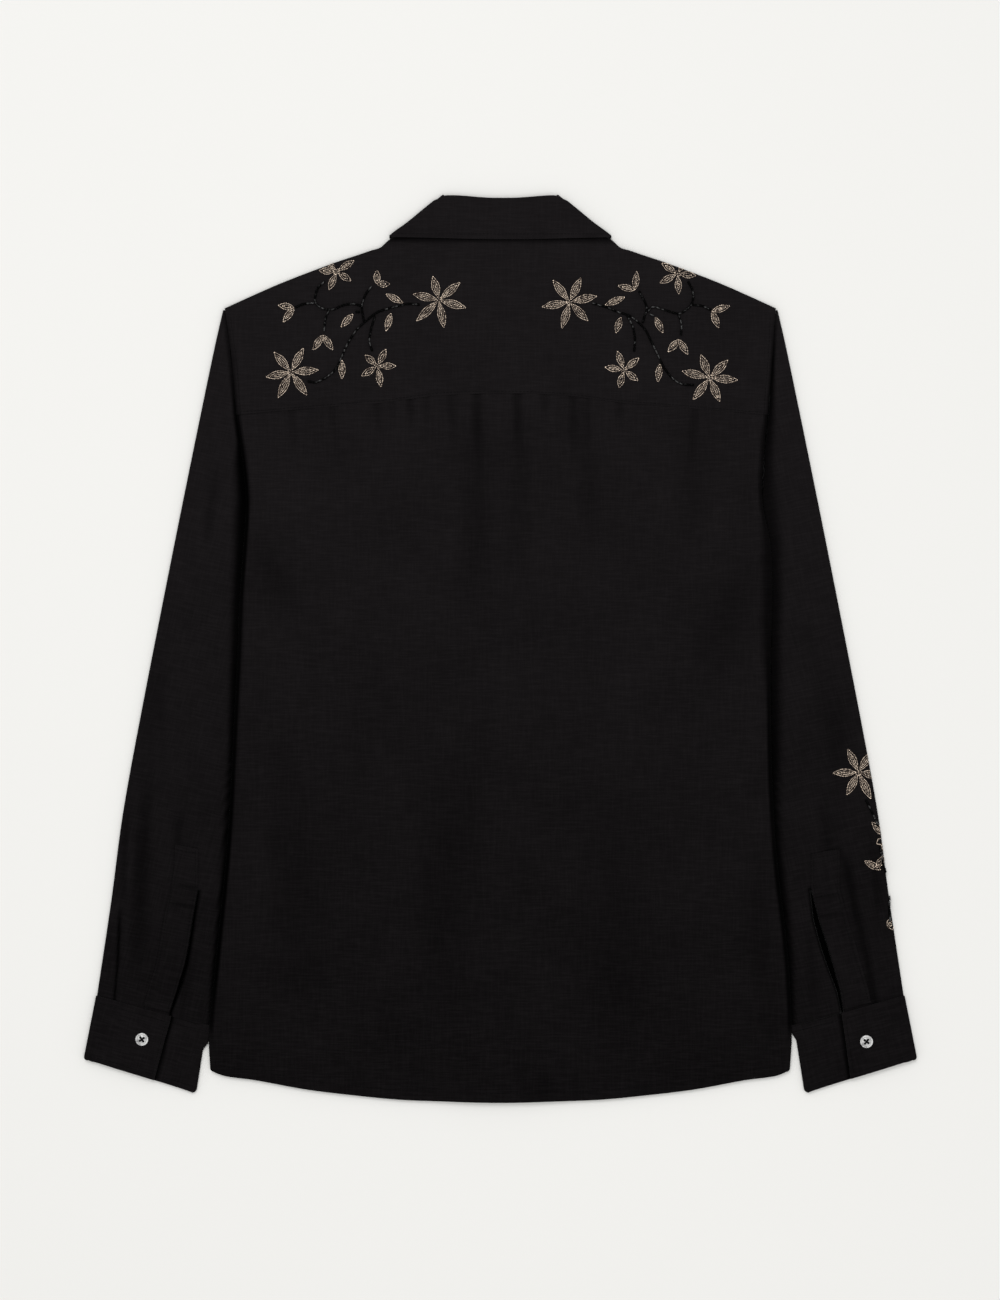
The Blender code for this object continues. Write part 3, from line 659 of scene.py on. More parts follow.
def yokeRelief(x, down):
    seamAway = lookUp(bodyCut["yokeSeam"], abs(x)) - down
    lift = 0.35 * smooth((9 - seamAway) / 3)
    lift += pucker(seamAway, x, 0.16)
    lift += 0.30 * ripple(x, down, 46, 1) + 0.14 * ripple(x, down, 17, 5)
    return lift * smooth((down - 44 - 0.2 * abs(x)) / 20)


def makeYoke():
    half = lay["seam"] / 2
    folds = {side: curve(mirrored(bodyCut["shoulder"], side)) for side in (-1, 1)}
    neckOut, neckDown = bodyCut["shoulder"][0]
    neck = curve(((-neckOut, neckDown), (neckOut, neckDown)))
    foldSteps, neckSteps = 54, 50
    columns = [(-1, 1 - t) for t in steps(foldSteps)][:-1] + [(0, t) for t in steps(neckSteps)]
    columns += [(1, t) for t in steps(foldSteps)][1:]

    def topPoint(column):
        side, t = columns[column]
        return neck(t) if side == 0 else folds[side](t)

    lengths = [0]
    for i in range(1, len(columns)):
        lengths.append(lengths[-1] + (topPoint(i) - topPoint(i - 1)).length)
    shares = [value / lengths[-1] for value in lengths]
    bottom = whole(bodyCut["yokeSeam"], -half)
    seamEnd = bodyCut["yokeSeam"][-1][1]
    sides = {side: bodyEdge(side, bodyCut["shoulder"][-1][1], seamEnd - half, half) for side in (-1, 1)}

    def top(share):
        i = min(max(bisect_right(shares, share + 1e-9) - 1, 0), len(shares) - 2)
        t = (share - shares[i]) / (shares[i + 1] - shares[i])
        return mix(topPoint(i), topPoint(i + 1), t)

    face = patch(top, bottom, sides[-1], sides[1])
    strips = {}
    for side in (-1, 1):
        start = math.atan2(neckDown - collarCut["neckCentre"], neckOut)
        strips[side] = patch(folds[side], frontSeam(side, -half),
                             neckArc(side, start, bodyCut["frontSeamAngle"], lay["seam"]),
                             bodyEdge(side, bodyCut["shoulder"][-1][1], bodyCut["frontSeamEnd"] - half, half))
    stripSteps, turnSteps, faceSteps = 12, 10, 54

    def columnPoints(i):
        side, t = columns[i]
        if side == 0 and i not in (foldSteps, foldSteps + neckSteps):
            wrap = [None] * (stripSteps + turnSteps)
        else:
            side = -1 if i <= foldSteps else 1
            t = 0 if columns[i][0] == 0 else t
            wrap = []
            for v in reversed(steps(stripSteps)):
                p = strips[side](t, v)
                wrap.append((p.x, p.y, frontZ(p.x, p.y)))
            p = folds[side](t)
            ahead = folds[side](min(t + 0.02, 1)) - folds[side](max(t - 0.02, 0))
            outward = Vector((ahead.y, -ahead.x)).normalized() * side
            low, high = frontZ(p.x, p.y), backZ(p.x, p.y)
            r, middle = (high - low) / 2, (high + low) / 2
            for turn in steps(turnSteps)[1:-1]:
                q = p + outward * r * math.sin(math.pi * turn)
                wrap.append((q.x, q.y, middle - r * math.cos(math.pi * turn)))
        points = list(wrap)
        for v in steps(faceSteps):
            p = face(shares[i], v)
            # painted shadow on the yoke just under the collar's edge
            under = smooth((42.5 - p.y) / 6) * smooth((100 - abs(p.x)) / 6)
            shade = max(sideShade(p.x, p.y), 0.8 * under)
            points.append((p.x, p.y, backZ(p.x, p.y) + yokeRelief(p.x, p.y), shade))
        return points

    rows = list(zip(*[columnPoints(i) for i in range(len(columns))]))
    return sewCloth("yoke_cloth", rows, bodyCloth, ("back_yoke",), bodyCut["wall"])


def roundCorner(away, radius):
    # how far an edge draws in near a corner, by the distance left to the corner
    if away >= radius:
        return 0
    return radius - math.sqrt(max(radius ** 2 - (radius - max(away, 0)) ** 2, 0))


def gatherDip(x, below):
    dip = 0
    for centre, depth, length in bodyCut["gathers"]:
        near = (x - centre) / bodyCut["gatherHalf"]
        if abs(near) < 2.2 and below < 1.3 * length:
            dip += depth * math.exp(-near * near * 1.3) * smooth(1.25 - below / length)
            dip -= 0.35 * depth * math.exp(-(abs(near) - 1.5) ** 2 * 2) * smooth(1.25 - below / length)
    return dip


def sideTurn(down):
    return smooth((down - 255) / 30)


def backRelief(x, down):
    seamAway = down - lookUp(bodyCut["yokeSeam"], abs(x))
    hemAway = lookUp(bodyCut["hem"], abs(x)) - down
    side = -1 if x < 0 else 1
    edgeAway = edgeOut(side, down) - abs(x)
    lift = creaseHeight(backCreases, x, down) + 0.30 * ripple(x, down, 70, 2) + 0.14 * ripple(x, down, 24, 7)
    lift *= smooth(edgeAway / 22) * smooth(hemAway / 24)
    lift += pucker(seamAway, x, 0.14) + 0.3 * smooth((9 - hemAway) / 2) + pucker(hemAway - 8, x, 0.12, 10)
    return lift


def makeBack():
    half = lay["seam"] / 2
    seam = bodyCut["yokeSeam"]
    top, bottom = whole(seam, half - bodyCut["seamTuck"]), whole(bodyCut["hem"])
    start, end = seam[-1][1] + half - bodyCut["seamTuck"], bodyCut["hem"][-1][1]
    face = patch(top, bottom, bodyEdge(-1, start, end, half), bodyEdge(1, start, end, half))
    span = seam[-1][0]
    places = [mix(-span, span, t) for t in steps(196)]
    downShares = [0.12 * t for t in steps(30)] + [mix(0.12, 0.988, t) for t in steps(112)[1:]]
    downShares += [0.991, 0.9935, 0.9955, 0.997, 0.9982, 0.9992, 1]
    rows = []
    for v in downShares:
        row = []
        for x in places:
            p = face((x + span) / (2 * span), v)
            dip = gatherDip(x, p.y - lookUp(seam, abs(x)))
            z = backZ(p.x, p.y) - dip + backRelief(p.x, p.y)
            # painted shade in the creases' troughs and under the gathers, painted light on the ridges
            tone = paintedCreaseShading(creaseHeight(backCreases, p.x, p.y)) + 0.42 * max(dip, 0)
            row.append((p.x, p.y, z, max(sideShade(p.x, p.y), tone)))
        for side, endIndex in ((-1, 0), (1, -1)):
            x, down, z, shade = row[endIndex]
            inner = row[2] if side < 0 else row[-3]
            slope = (inner[1] - down) / abs(inner[0] - x)
            hemAway = lookUp(bodyCut["hem"], abs(x)) - down
            inset = roundCorner(hemAway, bodyCut["hemRound"])
            curl = sideTurn(down) * (z - frontZ(x, down) - lay["wall"] + lay["wall"] / 2 - lay["seam"])
            arc = []
            for inward, drop in [(0.5 + curl + 1.2, 0)] + [
                    (0.5 + curl * (1 - math.sin(turn * math.pi / 2)), curl * (1 - math.cos(turn * math.pi / 2)))
                    for turn in steps(7)[1:]]:
                arc.append((x - side * (inward + inset), down + slope * inward, z - drop, shade))
            row = [*reversed(arc), *row[2:]] if side < 0 else [*row[:-2], *arc]
        rows.append(row)
    return sewCloth("back_cloth", rows, bodyCloth, ("back_panel",), bodyCut["wall"])


def makeFront(side):
    inner = bodyCut["bandHalf"] + lay["seam"]
    topAngle = math.acos(inner / (collarCut["rollRadius"] + collarCut["standWidth"] + lay["seam"]))
    half = lay["seam"] / 2
    neck = neckArc(side, topAngle, bodyCut["frontSeamAngle"], lay["seam"])
    top = chain(neck, frontSeam(side, half))
    short = bodyCut["frontHemShort"]
    hem = bodyCut["hem"]
    start = top(0)
    bottom = curve([(side * inner, hem[0][1] - short)] + [(side * out, down - short) for out, down in hem[1:]])
    inside = curve(((start.x, start.y), (side * inner, hem[0][1] - short)))
    outside = bodyEdge(side, bodyCut["frontSeamEnd"] + half, hem[-1][1] - short, half)
    face = patch(top, bottom, inside, outside)
    corner = neck.length / top.length
    columns = [corner * t for t in steps(12)] + [mix(corner, 1, t) for t in steps(48)[1:]]
    low, high = bodyCut["bandEase"]
    rows = []
    for v in steps(130):
        row = []
        for u in columns:
            p = face(u, v)
            z = frontZ(p.x, p.y)
            if side > 0:
                z += lay["lap"] * smooth((high - p.x) / (high - low))
            edgeAway = edgeOut(side, p.y) - abs(p.x)
            free = smooth(edgeAway / 20) * smooth((abs(p.x) - inner) / 14)
            free = free * smooth((hem[0][1] - p.y - 24) / 20)
            free *= smooth((math.hypot(p.x, p.y - collarCut["neckCentre"]) - 122) / 24)
            lift = max(creaseHeight(frontCreases, p.x, p.y), 0) + 0.18 * (1 + ripple(p.x, p.y, 60, 9))
            row.append((p.x, p.y, z + min(lift, 1.1) * free, sideShade(p.x, p.y)))
        rows.append(row)
    name = handName[side]
    return sewCloth("front_cloth_" + name, rows, bodyCloth, ("front_" + name,), bodyCut["wall"])


frontButtons = {"count": 6, "down": 175, "step": 92, "dimple": 2.3, "flat": 6.5}


def frontButtonDowns():
    return [frontButtons["down"] + i * frontButtons["step"] for i in range(frontButtons["count"])]


def dimple(x, down):
    lift = 0
    reach = bodyCut["bandHalf"]
    for centre in frontButtonDowns():
        away = math.hypot(x, down - centre)
        lift = max(lift, frontButtons["dimple"] * smooth((reach - away) / (reach - frontButtons["flat"])))
    return lift


def makeBand(name, node, rise):
    half = bodyCut["bandHalf"]
    top = collarCut["neckCentre"] + math.sqrt(
        (collarCut["rollRadius"] + collarCut["standWidth"] + lay["seam"]) ** 2 - half ** 2) + 1.4
    bottom = bodyCut["hem"][0][1] - bodyCut["frontHemShort"]
    rows = []
    for v in steps(280):
        d = mix(top, bottom, v)
        rows.append([(x, d, frontZ(x, d) + rise + dimple(x, d)) for x in [mix(-half, half, t) for t in steps(14)]])
    return sewCloth(name, rows, bodyCloth, (node,), bodyCut["wall"])


collarPiece = makeCollar()
yokePiece = makeYoke()
backPiece = makeBack()
frontPieces = {side: makeFront(side) for side in (-1, 1)}
placketPiece = makeBand("front_placket_cloth", "front_placket", 0)
bandPiece = makeBand("front_button_band_cloth", "front_button_band", lay["lap"])
print("body sewn")


# sleeves

sleeveCut = {
    "outer": ((99, 236.4), (123, 241.8), (157, 249), (225, 263), (327, 283.5), (463, 310),
              (531, 322), (599, 331), (682, 343.4)),
    "underarmDown": 252,
    "inner": ((286, 207), (315, 190), (350, 160), (390, 135), (430, 128), (475, 137),
              (523, 158), (586, 186), (652, 215), (707.4, 246.2)),
    "foldR": 1.35, "crown": 0.7, "lowZ": 0.62, "groove": 16, "armholeGap": -0.8, "innerEase": 1.35,
    "sink": (188, 228), "wall": 0.9,
    # slit: down, out left, out right, width of the opening left, right
    "slit": ((590, 256.5, 263.7, 0.4, 0.4), (616, 260.7, 268.5, 1.5, 4.2), (640, 264.4, 275.6, 1.7, 5.4),
             (654, 267, 280, 2, 4.9), (668, 271.2, 284.6, 2.5, 3.4), (677, 274, 287.5, 2, 2.4),
             (695, 280.4, 290.8, 1.2, 1.5)),
    # pleat above the cuff: down, out
    "pleat": {-1: ((598, 323.2), (616, 323.9), (650, 325.2), (684, 328.2)),
              1: ((548, 290), (559, 292), (610, 302.3), (637, 309), (686, 318.4))},
    # pleat widths, the strength of the painted shade along its line, and its depth
    "pleatWide": {-1: (2, 1.1), 1: (4.6, 4)}, "pleatPaintedShade": {-1: 0.97, 1: 0.5}, "pleatDepth": 1.1,
    # placket: where it starts, its width, lift and lean, and the strength of the painted shade at its cross seams
    "placketTop": {-1: 0.765, 1: 0.775}, "placketWide": 24.5, "placketLift": 1.55,
    "placketLean": {-1: 4.6, 1: 0}, "tackPaintedShade": {-1: 0.6, 1: 0.3},
}
# Creases of the sleeves' upper layer: out, down to out, down, half width, height, bow
sleeveCreases = {
    -1: ((252, 200, 286, 470, 9, 0.6, 3), (240, 226, 250, 300, 5, -0.6, 1),
         (262, 300, 298, 500, 12, -0.6, 3), (250, 360, 262, 540, 8, 0.55, -2),
         (299, 490, 309, 664, 8, -1.2, 1.5), (316, 516, 322, 606, 3.6, -0.9, 0.5),
         (286, 480, 292, 560, 6, 0.5, 1), (310, 500, 316, 590, 4, 0.5, 0.5),
         (318, 600, 321, 684, 4, 0.5, 0.5), (270, 520, 276, 560, 5, -0.7, 1),
         (262, 640, 272, 700, 5, -0.7, 1), (256, 590, 262, 650, 5, 0.5, 0.5)),
    1: ((250, 200, 284, 440, 9, 0.55, -3), (258, 320, 296, 540, 12, -0.6, 3),
        (252, 400, 268, 560, 8, 0.5, 2), (292, 480, 318, 620, 7, 0.5, 2),
        (312, 540, 326, 640, 5, -0.9, 1), (322, 590, 330, 684, 4.5, 0.6, 1),
        (302, 620, 308, 684, 4.5, 0.6, 1), (270, 500, 282, 600, 7, -0.7, 2),
        (262, 620, 268, 700, 5, -0.6, 1)),
}
underCreases = ((256, 230, 290, 480, 12, 0.7, 4), (282, 380, 316, 600, 10, 0.6, -3),
                (236, 360, 262, 600, 12, 0.6, 4), (300, 560, 318, 676, 8, 0.6, 2))


class FoldedSleeve:
    # flat position by share across, outer to inner fold, and share down
    def __init__(self, side):
        cut = sleeveCut
        self.side = side
        inset = cut["foldR"] + lay["wall"] / 2
        outer = curve([(cut["outer"][0][1] - inset - 0.4, cut["outer"][0][0] - 1.2)]
                      + [(out - inset, down) for down, out in cut["outer"][1:]])
        start, end = cut["outer"][0][0], cut["underarmDown"]
        inner = curve([(edgeOut(side, end) + cut["armholeGap"], end)] + [(out, down) for down, out in cut["inner"]])
        downs = [row[0] for row in bodyCut["edge"] if start < row[0] < end]
        hole = [outer(0)] + [(edgeOut(side, d) + cut["armholeGap"], d) for d in downs] + [inner(0)]
        self.plan = patch(curve(hole), curve((outer(1), inner(1))), outer, lambda v: inner(v ** cut["innerEase"]))

    def flat(self, u, v):
        p = self.plan(u, v)
        if p.y < sleeveCut["underarmDown"]:
            capped = smooth((125 - p.y) / 26)
            p.x = max(p.x, edgeOut(self.side, p.y) + sleeveCut["armholeGap"] - 2.2 * capped)
        return p

    def topZ(self, u, p):
        cut = sleeveCut
        away = p.x - edgeOut(self.side, p.y)
        low = mix(lay["backZ"], lay["edgeZ"], smooth((p.y - cut["sink"][0]) / (cut["sink"][1] - cut["sink"][0])))
        high = 2 * cut["foldR"] + cut["lowZ"] + cut["crown"] * smooth(u / 0.25)
        return mix(low, high, smooth((away - cut["groove"]) / 26))

    def lookZ(self, u, p):
        # the drawn height: it climbs out of the groove sooner than the solid, and carries the creases
        cut = sleeveCut
        away = p.x - edgeOut(self.side, p.y)
        low = self.topZ(u, p)
        high = 2 * cut["foldR"] + cut["lowZ"] + cut["crown"] * smooth(u / 0.25)
        shown = smooth((p.y - 225) / 50)
        z = mix(low, mix(lay["edgeZ"], high, smooth((away - 1) / 12)) if away > 0 else low, shown)
        z -= 1 * (1 - shown) * smooth((4 - away) / 4)
        free = smooth(u / 0.08) * smooth((away - 3) / 10)
        lift = self.crease(p) + 0.22 * ripple(p.x, p.y, 42, 3 + self.side)
        return z + (lift + pucker(abs(away), p.y, 0.08)) * free

    def shareAt(self, v, beyond):
        column = 1 if self.side < 0 else 2
        low, high = 0, 1
        for _ in range(22):
            middle = (low + high) / 2
            p = self.flat(middle, v)
            if p.x > lookUp(sleeveCut["slit"], p.y, column) + beyond:
                low = middle
            else:
                high = middle
        return (low + high) / 2

    def slitShare(self, v):
        near = smooth((self.flat(0.5, v).y - sleeveCut["slit"][0][0] + 130) / 120)
        return mix(mix(0.45, 0.52, v), self.shareAt(v, 0), near) if near > 0 else mix(0.45, 0.52, v)

    def gap(self, down):
        # width of the slit's opening
        return lookUp(sleeveCut["slit"], down, 3 if self.side < 0 else 4)

    def crease(self, p):
        return creaseHeight(sleeveCreases[self.side], p.x, p.y)

    def shade(self, p, lipAway):
        # painted shade in the groove beside the body, full where the sleeve lies under its edge, and along the slit's
        # lips
        away = p.x - edgeOut(self.side, p.y)
        inside = 1 if away < 0 and p.y < 700 else grooveShade(self.side, p.y, max(away, 0.01))
        return max(inside * smooth((p.y - 92) / 16), 0.97 * smooth(1.1 - lipAway / 1.7))


farAway = 99  # millimetres from a lip, where there is no slit


def makeSleeve(side):
    sleeve = FoldedSleeve(side)
    cut = sleeveCut
    pleatWide, pleatPaintedShade = cut["pleatWide"][side], cut["pleatPaintedShade"][side]
    rows = []
    for v in steps(200):
        slit = sleeve.slitShare(v)
        lip = sleeve.flat(slit, v)
        inSlit = lip.y >= cut["slit"][0][0]
        gap = sleeve.gap(lip.y) if inSlit else 0
        row = []

        def add(p, z, shade=0, shift=0):
            row.append((side * (p.x + shift), p.y, z, shade))

        for share in [1 - t for t in steps(44)]:
            u = slit * share
            p = sleeve.flat(u, v)
            away = (p.x - lookUp(cut["pleat"][side], p.y)) / mix(*pleatWide, smooth((p.y - 590) / 90))
            fold = smooth((p.y - cut["pleat"][side][0][0]) / 28)
            dip = fold * cut["pleatDepth"] * (math.exp(-away ** 2) - 0.35 * math.exp(-((away + 2.2) / 1.4) ** 2))
            lipAway = (p.x - lip.x) if inSlit else farAway
            # painted shade in the creases' troughs, at the slit's lips and along the pleat's line
            tone = paintedCreaseShading(sleeve.crease(p))
            shade = max(sleeve.shade(p, lipAway), tone, pleatPaintedShade * fold * math.exp(-away ** 2))
            add(p, sleeve.lookZ(u, p) - dip, shade, gap / 2 * smooth((share - 0.8) / 0.2))
        start = sleeve.flat(0, v)
        for bend in [math.pi * turn for turn in steps(9)[1:-1]]:
            z = cut["lowZ"] + cut["foldR"] * (1 + math.cos(bend))
            add(start, z, shift=cut["foldR"] * math.sin(bend))
        # columns crowd towards the slit, where the under layer is painted with shade between the lips
        for u in [slit * (1 - (1 - t) ** 2) for t in steps(16)] + [mix(slit, 1, t ** 2) for t in steps(13)[1:]]:
            p = sleeve.flat(u, v)
            lift = max(creaseHeight(underCreases, p.x, p.y), 0) * smooth(u / 0.15) * smooth((0.7 - u) / 0.2)
            inSlitShade = 0.98 * smooth(gap / 2 + 1.7 - abs(p.x - lip.x)) if inSlit else 0
            add(p, cut["lowZ"] + min(lift, 0.9), inSlitShade)
        end = sleeve.flat(1, v)
        r = (sleeve.topZ(1, end) - cut["lowZ"]) / 2
        for bend in [math.pi * turn for turn in steps(6)[1:-1]]:
            add(end, cut["lowZ"] + r * (1 - math.cos(bend)), shift=-r * math.sin(bend))
        for share in [1 - t for t in steps(20)]:
            u = mix(slit, 1, share)
            p = sleeve.flat(u, v)
            z = sleeve.topZ(u, p) if p.x < edgeOut(side, p.y) else sleeve.lookZ(u, p)
            lipAway = (lip.x - p.x) if inSlit else farAway
            shade = max(sleeve.shade(p, lipAway), paintedCreaseShading(sleeve.crease(p)))
            add(p, z, shade, -gap / 2 * smooth((0.2 - share) / 0.2))
        rows.append(row)
    name = handName[side]
    return sewCloth("sleeve_cloth_" + name, rows, sleeveCloth[side], ("sleeve_" + name,), cut["wall"])


# cross seams of the sleeve plackets, by share down the sleeve
boxShares = {-1: (0.772, 0.8205, 0.847), 1: (0.782, 0.836, 0.862)}


def makePlacket(side):
    sleeve = FoldedSleeve(side)
    cut = sleeveCut
    rows = []
    for v in [mix(cut["placketTop"][side], 0.995, t) for t in steps(60)]:
        row = []
        for t in [mix(0.02, 1, s) for s in steps(14)]:
            lean = cut["placketLean"][side] * smooth((mix(cut["placketTop"][side], 1, 0.42) - v) / 0.09)
            u = sleeve.shareAt(v, t * (cut["placketWide"] - lean))
            p = sleeve.flat(u, v)
            gap = sleeve.gap(p.y) / 2
            rim = 0.12 * (math.exp(-(t / 0.12) ** 2) + math.exp(-((1 - t) / 0.12) ** 2))
            z = sleeve.topZ(u, p) + cut["placketLift"] + rim
            z = z + pucker(min(t, 1 - t) * cut["placketWide"], p.y, 0.08, 7)
            z = max(z, sleeve.lookZ(u, p) + 1.05)
            # painted shade along the placket's cross seams, where the cloth also dips
            tack = max(math.exp(-((v - share) / 0.0022) ** 2) for share in boxShares[side][1:])
            tackShade = cut["tackPaintedShade"][side] * tack * smooth((0.97 - t) / 0.4)
            row.append((side * (p.x + gap), p.y, z - 0.25 * tack, tackShade))
        rows.append(row)
    name = handName[side]
    return sewCloth("sleeve_placket_cloth_" + name, rows, sleeveCloth[side], ("sleeve_placket_" + name,), cut["wall"])


cuffCut = {
    "top": ((341.8, 682.2), (251.6, 707.2)), "bottom": ((352.3, 735.2), (260.3, 762.8)), "corner": 2.6,
    "reach": {-1: 4.3, 1: 3.6}, "reachEnd": {-1: 0.37, 1: 0.22},
    "overlap": {-1: (0.68, 0.63), 1: (0.57, 0.59)}, "underlap": 0.2, "wall": 1.3, "solidWall": 1.4,
    "button": {-1: (304.6, 717.6), 1: (311.1, 719.5)}, "deep": 54,
}
cuffUnderZ = cuffCut["solidWall"] / 2 + cuffCut["solidWall"] + 0.5
cuffOverZ = cuffUnderZ + cuffCut["solidWall"] + lay["seam"]


def cuffFace(side):
    top, bottom = cuffCut["top"], cuffCut["bottom"]
    flat = patch(curve(top), curve(bottom), curve((top[0], bottom[0])), curve((top[1], bottom[1])))

    def at(u, v):
        p = flat(u, v)
        p.x += roundCorner(cuffCut["deep"] * (1 - v), cuffCut["corner"]) * (u ** 6 - (1 - u) ** 6)
        p.x -= cuffCut["reach"][side] * u ** 6 * smooth((cuffCut["reachEnd"][side] - v) / 0.16)
        return p
    return at


def makeCuff(side):
    face = cuffFace(side)
    low = cuffCut["solidWall"] / 2
    rows = []
    for v in [mix(-0.02, 1, 0.5 - 0.5 * math.cos(math.pi * t)) for t in steps(26)]:
        lap = mix(*cuffCut["overlap"][side], v)
        row = []

        def relief(p, edge):
            rim = 0.14 * math.exp(-(min(v, 1 - v, edge) / 0.07) ** 2)
            rim = rim + 0.16 * ripple(p.x, p.y, 26, 6 + side)
            return rim + pucker(min(v, 1 - v) * cuffCut["deep"], p.x, 0.07, 7)

        for share in [1 - t for t in steps(26)]:
            p = face(lap * share, v)
            row.append((side * p.x, p.y, cuffOverZ + relief(p, 1 - share) * smooth(share / 0.08)))
        r = (cuffOverZ - low) / 2
        p = face(0, v)
        for turn in steps(10)[1:-1]:
            row.append((side * (p.x + r * math.sin(math.pi * turn)), p.y, low + r * (1 + math.cos(math.pi * turn))))
        for u in steps(24):
            p = face(u, v)
            row.append((side * p.x, p.y, low))
        r = (cuffUnderZ - low) / 2
        for turn in steps(7)[1:-1]:
            row.append((side * (p.x - r * math.sin(math.pi * turn)), p.y, low + r * (1 - math.cos(math.pi * turn))))
        # the under layer is painted with shade beside the upper layer's edge
        for share in steps(20):
            u = mix(1, lap - cuffCut["underlap"], share)
            p = face(u, v)
            away = u - lap
            row.append((side * p.x, p.y, cuffUnderZ + 0.5 * relief(p, 1) * smooth(away / 0.1),
                        0.97 * smooth(1.2 - abs(away) / 0.035)))
        rows.append(row)
    name = handName[side]
    return sewCloth("cuff_cloth_" + name, rows, cuffCloth[side], ("cuff_" + name,), cuffCut["wall"], 0.4)


sleevePieces = {side: makeSleeve(side) for side in (-1, 1)}
sleevePlackets = {side: makePlacket(side) for side in (-1, 1)}
cuffPieces = {side: makeCuff(side) for side in (-1, 1)}
print("sleeves sewn")


# small things set on the cloth

bpy.context.view_layer.update()
depsgraph = bpy.context.evaluated_depsgraph_get()
trees = {}


def touch(pieces, x, down, fromBelow=False):
    # where a pin dropped on these pieces lands, and the way the cloth faces there
    best = None
    start = toWorld(x, down, -40 if fromBelow else 40)
    aim = Vector((0, 0, 1 if fromBelow else -1))
    for piece in pieces:
        if piece.name not in trees:
            trees[piece.name] = BVHTree.FromObject(piece, depsgraph)
        spot, normal, _, far = trees[piece.name].ray_cast(start, aim)
        if spot and (best is None or far < best[2]):
            best = (spot, normal if normal.dot(aim) < 0 else -normal, far)
    return best


def tubeFaces(rings, sides, base=0):
    # sides and both ends of a closed tube of rings
    faces = []
    for low in [base + r * sides for r in range(rings - 1)]:
        for k in range(sides):
            n = (k + 1) % sides
            faces.append((low + k, low + n, low + sides + n, low + sides + k))
    faces.append(tuple(base + k for k in reversed(range(sides))))
    faces.append(tuple(base + (rings - 1) * sides + k for k in range(sides)))
    return faces


def lathe(profile, sides):
    # closed turned form along X from (position, radius) rows
    verts = []
    for position, radius in profile:
        for k in range(sides):
            a = 2 * math.pi * k / sides
            verts.append((position, radius * math.cos(a), radius * math.sin(a)))
    return verts, tubeFaces(len(profile), sides)


class Heap:
    # many small copies gathered into one mesh
    def __init__(self):
        self.verts, self.faces = [], []

    def add(self, form, centre, ahead, up, size=(1, 1, 1)):
        ahead = ahead.normalized()
        side = up.cross(ahead).normalized()
        up = ahead.cross(side)
        base = len(self.verts)
        for x, y, z in form[0]:
            self.verts.append(centre + ahead * (x * size[0]) + side * (y * size[1]) + up * (z * size[2]))
        self.faces += [tuple(base + i for i in face) for face in form[1]]

    def finish(self, name, material, slot):
        mesh = bpy.data.meshes.new(name)
        mesh.from_pydata(self.verts, [], self.faces)
        mesh.shade_smooth()
        mesh.update()
        return addPiece(name, mesh, material, slot)


threadWork = {"pitch": 3.1, "long": 2.3, "thick": 0.42, "sides": 5}
stitchForm = lathe(((-0.5, 0.25), (-0.4, 0.45), (0.4, 0.45), (0.5, 0.25)), threadWork["sides"])


def stitchAlong(heap, line, pieces, fromBelow=False):
    # line gives (across, down) by its share
    count = max(int(line.length / threadWork["pitch"]), 1)
    for i in range(count):
        share = (i + 0.5) / count
        p, q = line(share - 0.2 / count), line(share + 0.2 / count)
        spot = touch(pieces, (p.x + q.x) / 2, (p.y + q.y) / 2, fromBelow)
        if not spot:
            continue
        ahead = toWorld(q.x, q.y, 0) - toWorld(p.x, p.y, 0)
        ahead = ahead - spot[1] * ahead.dot(spot[1])
        if ahead.length < 1e-9:
            continue
        thick = threadWork["thick"] * mm
        size = (threadWork["long"] * mm * random.uniform(0.92, 1.06), thick, thick)
        proud = -0.14 if fromBelow else 0.05
        heap.add(stitchForm, spot[0] + spot[1] * proud * mm, ahead, spot[1], size)


def offsetLine(line, away):
    # a line beside another one, to its right seen along it
    points = []
    for t in steps(40):
        p = line(t)
        ahead = line(min(t + 0.01, 1)) - line(max(t - 0.01, 0))
        right = Vector((-ahead.y, ahead.x)).normalized()
        points.append(p + right * away)
    return curve(points)


def stitchBody():
    heap = Heap()
    seam = whole(bodyCut["yokeSeam"])
    stitchAlong(heap, offsetLine(seam, -2), (yokePiece,))
    stitchAlong(heap, offsetLine(whole(bodyCut["hem"]), -bodyCut["hemDeep"]), (backPiece,))
    heap.finish("back_stitching", blackThread, "thread")

    heap = Heap()
    c = collarCut
    fallDown = c["rollDown"] + c["fallWidth"]
    stitchAlong(heap, curve(((-88, fallDown - 5), (88, fallDown - 5))), (collarPiece,))
    for side in (-1, 1):
        points = mirrored(collarSweep(c["fallWidth"] - 5, steps(14), trim=0.04), side)
        stitchAlong(heap, curve(points), (collarPiece,), fromBelow=True)
        inner = Vector((side * (c["rollRadius"] + 3) * math.cos(c["endAngle"]) + side * 5,
                        c["neckCentre"] + c["rollRadius"] + 3))
        stitchAlong(heap, curve((points[-1], tuple(inner))), (collarPiece,), fromBelow=True)
    heap.finish("collar_stitching", blackThread, "thread")

    heap = Heap()
    bottom = bodyCut["hem"][0][1] - bodyCut["frontHemShort"]
    for x in (-12, 12):
        stitchAlong(heap, curve(((x, 92), (x, bottom - 2))), (placketPiece,), fromBelow=True)
    for side in (-1, 1):
        short = bodyCut["frontHemShort"]
        hem = curve([(side * (bodyCut["bandHalf"] + 1), bodyCut["hem"][0][1] - short)]
                    + [(side * out, down - short) for out, down in bodyCut["hem"][1:]])
        stitchAlong(heap, offsetLine(hem, -side * bodyCut["hemDeep"]), (frontPieces[side],), fromBelow=True)
        stitchAlong(heap, offsetLine(frontSeam(side, 0), -side * 2), (yokePiece,), fromBelow=True)
    heap.finish("front_stitching", blackThread, "thread")


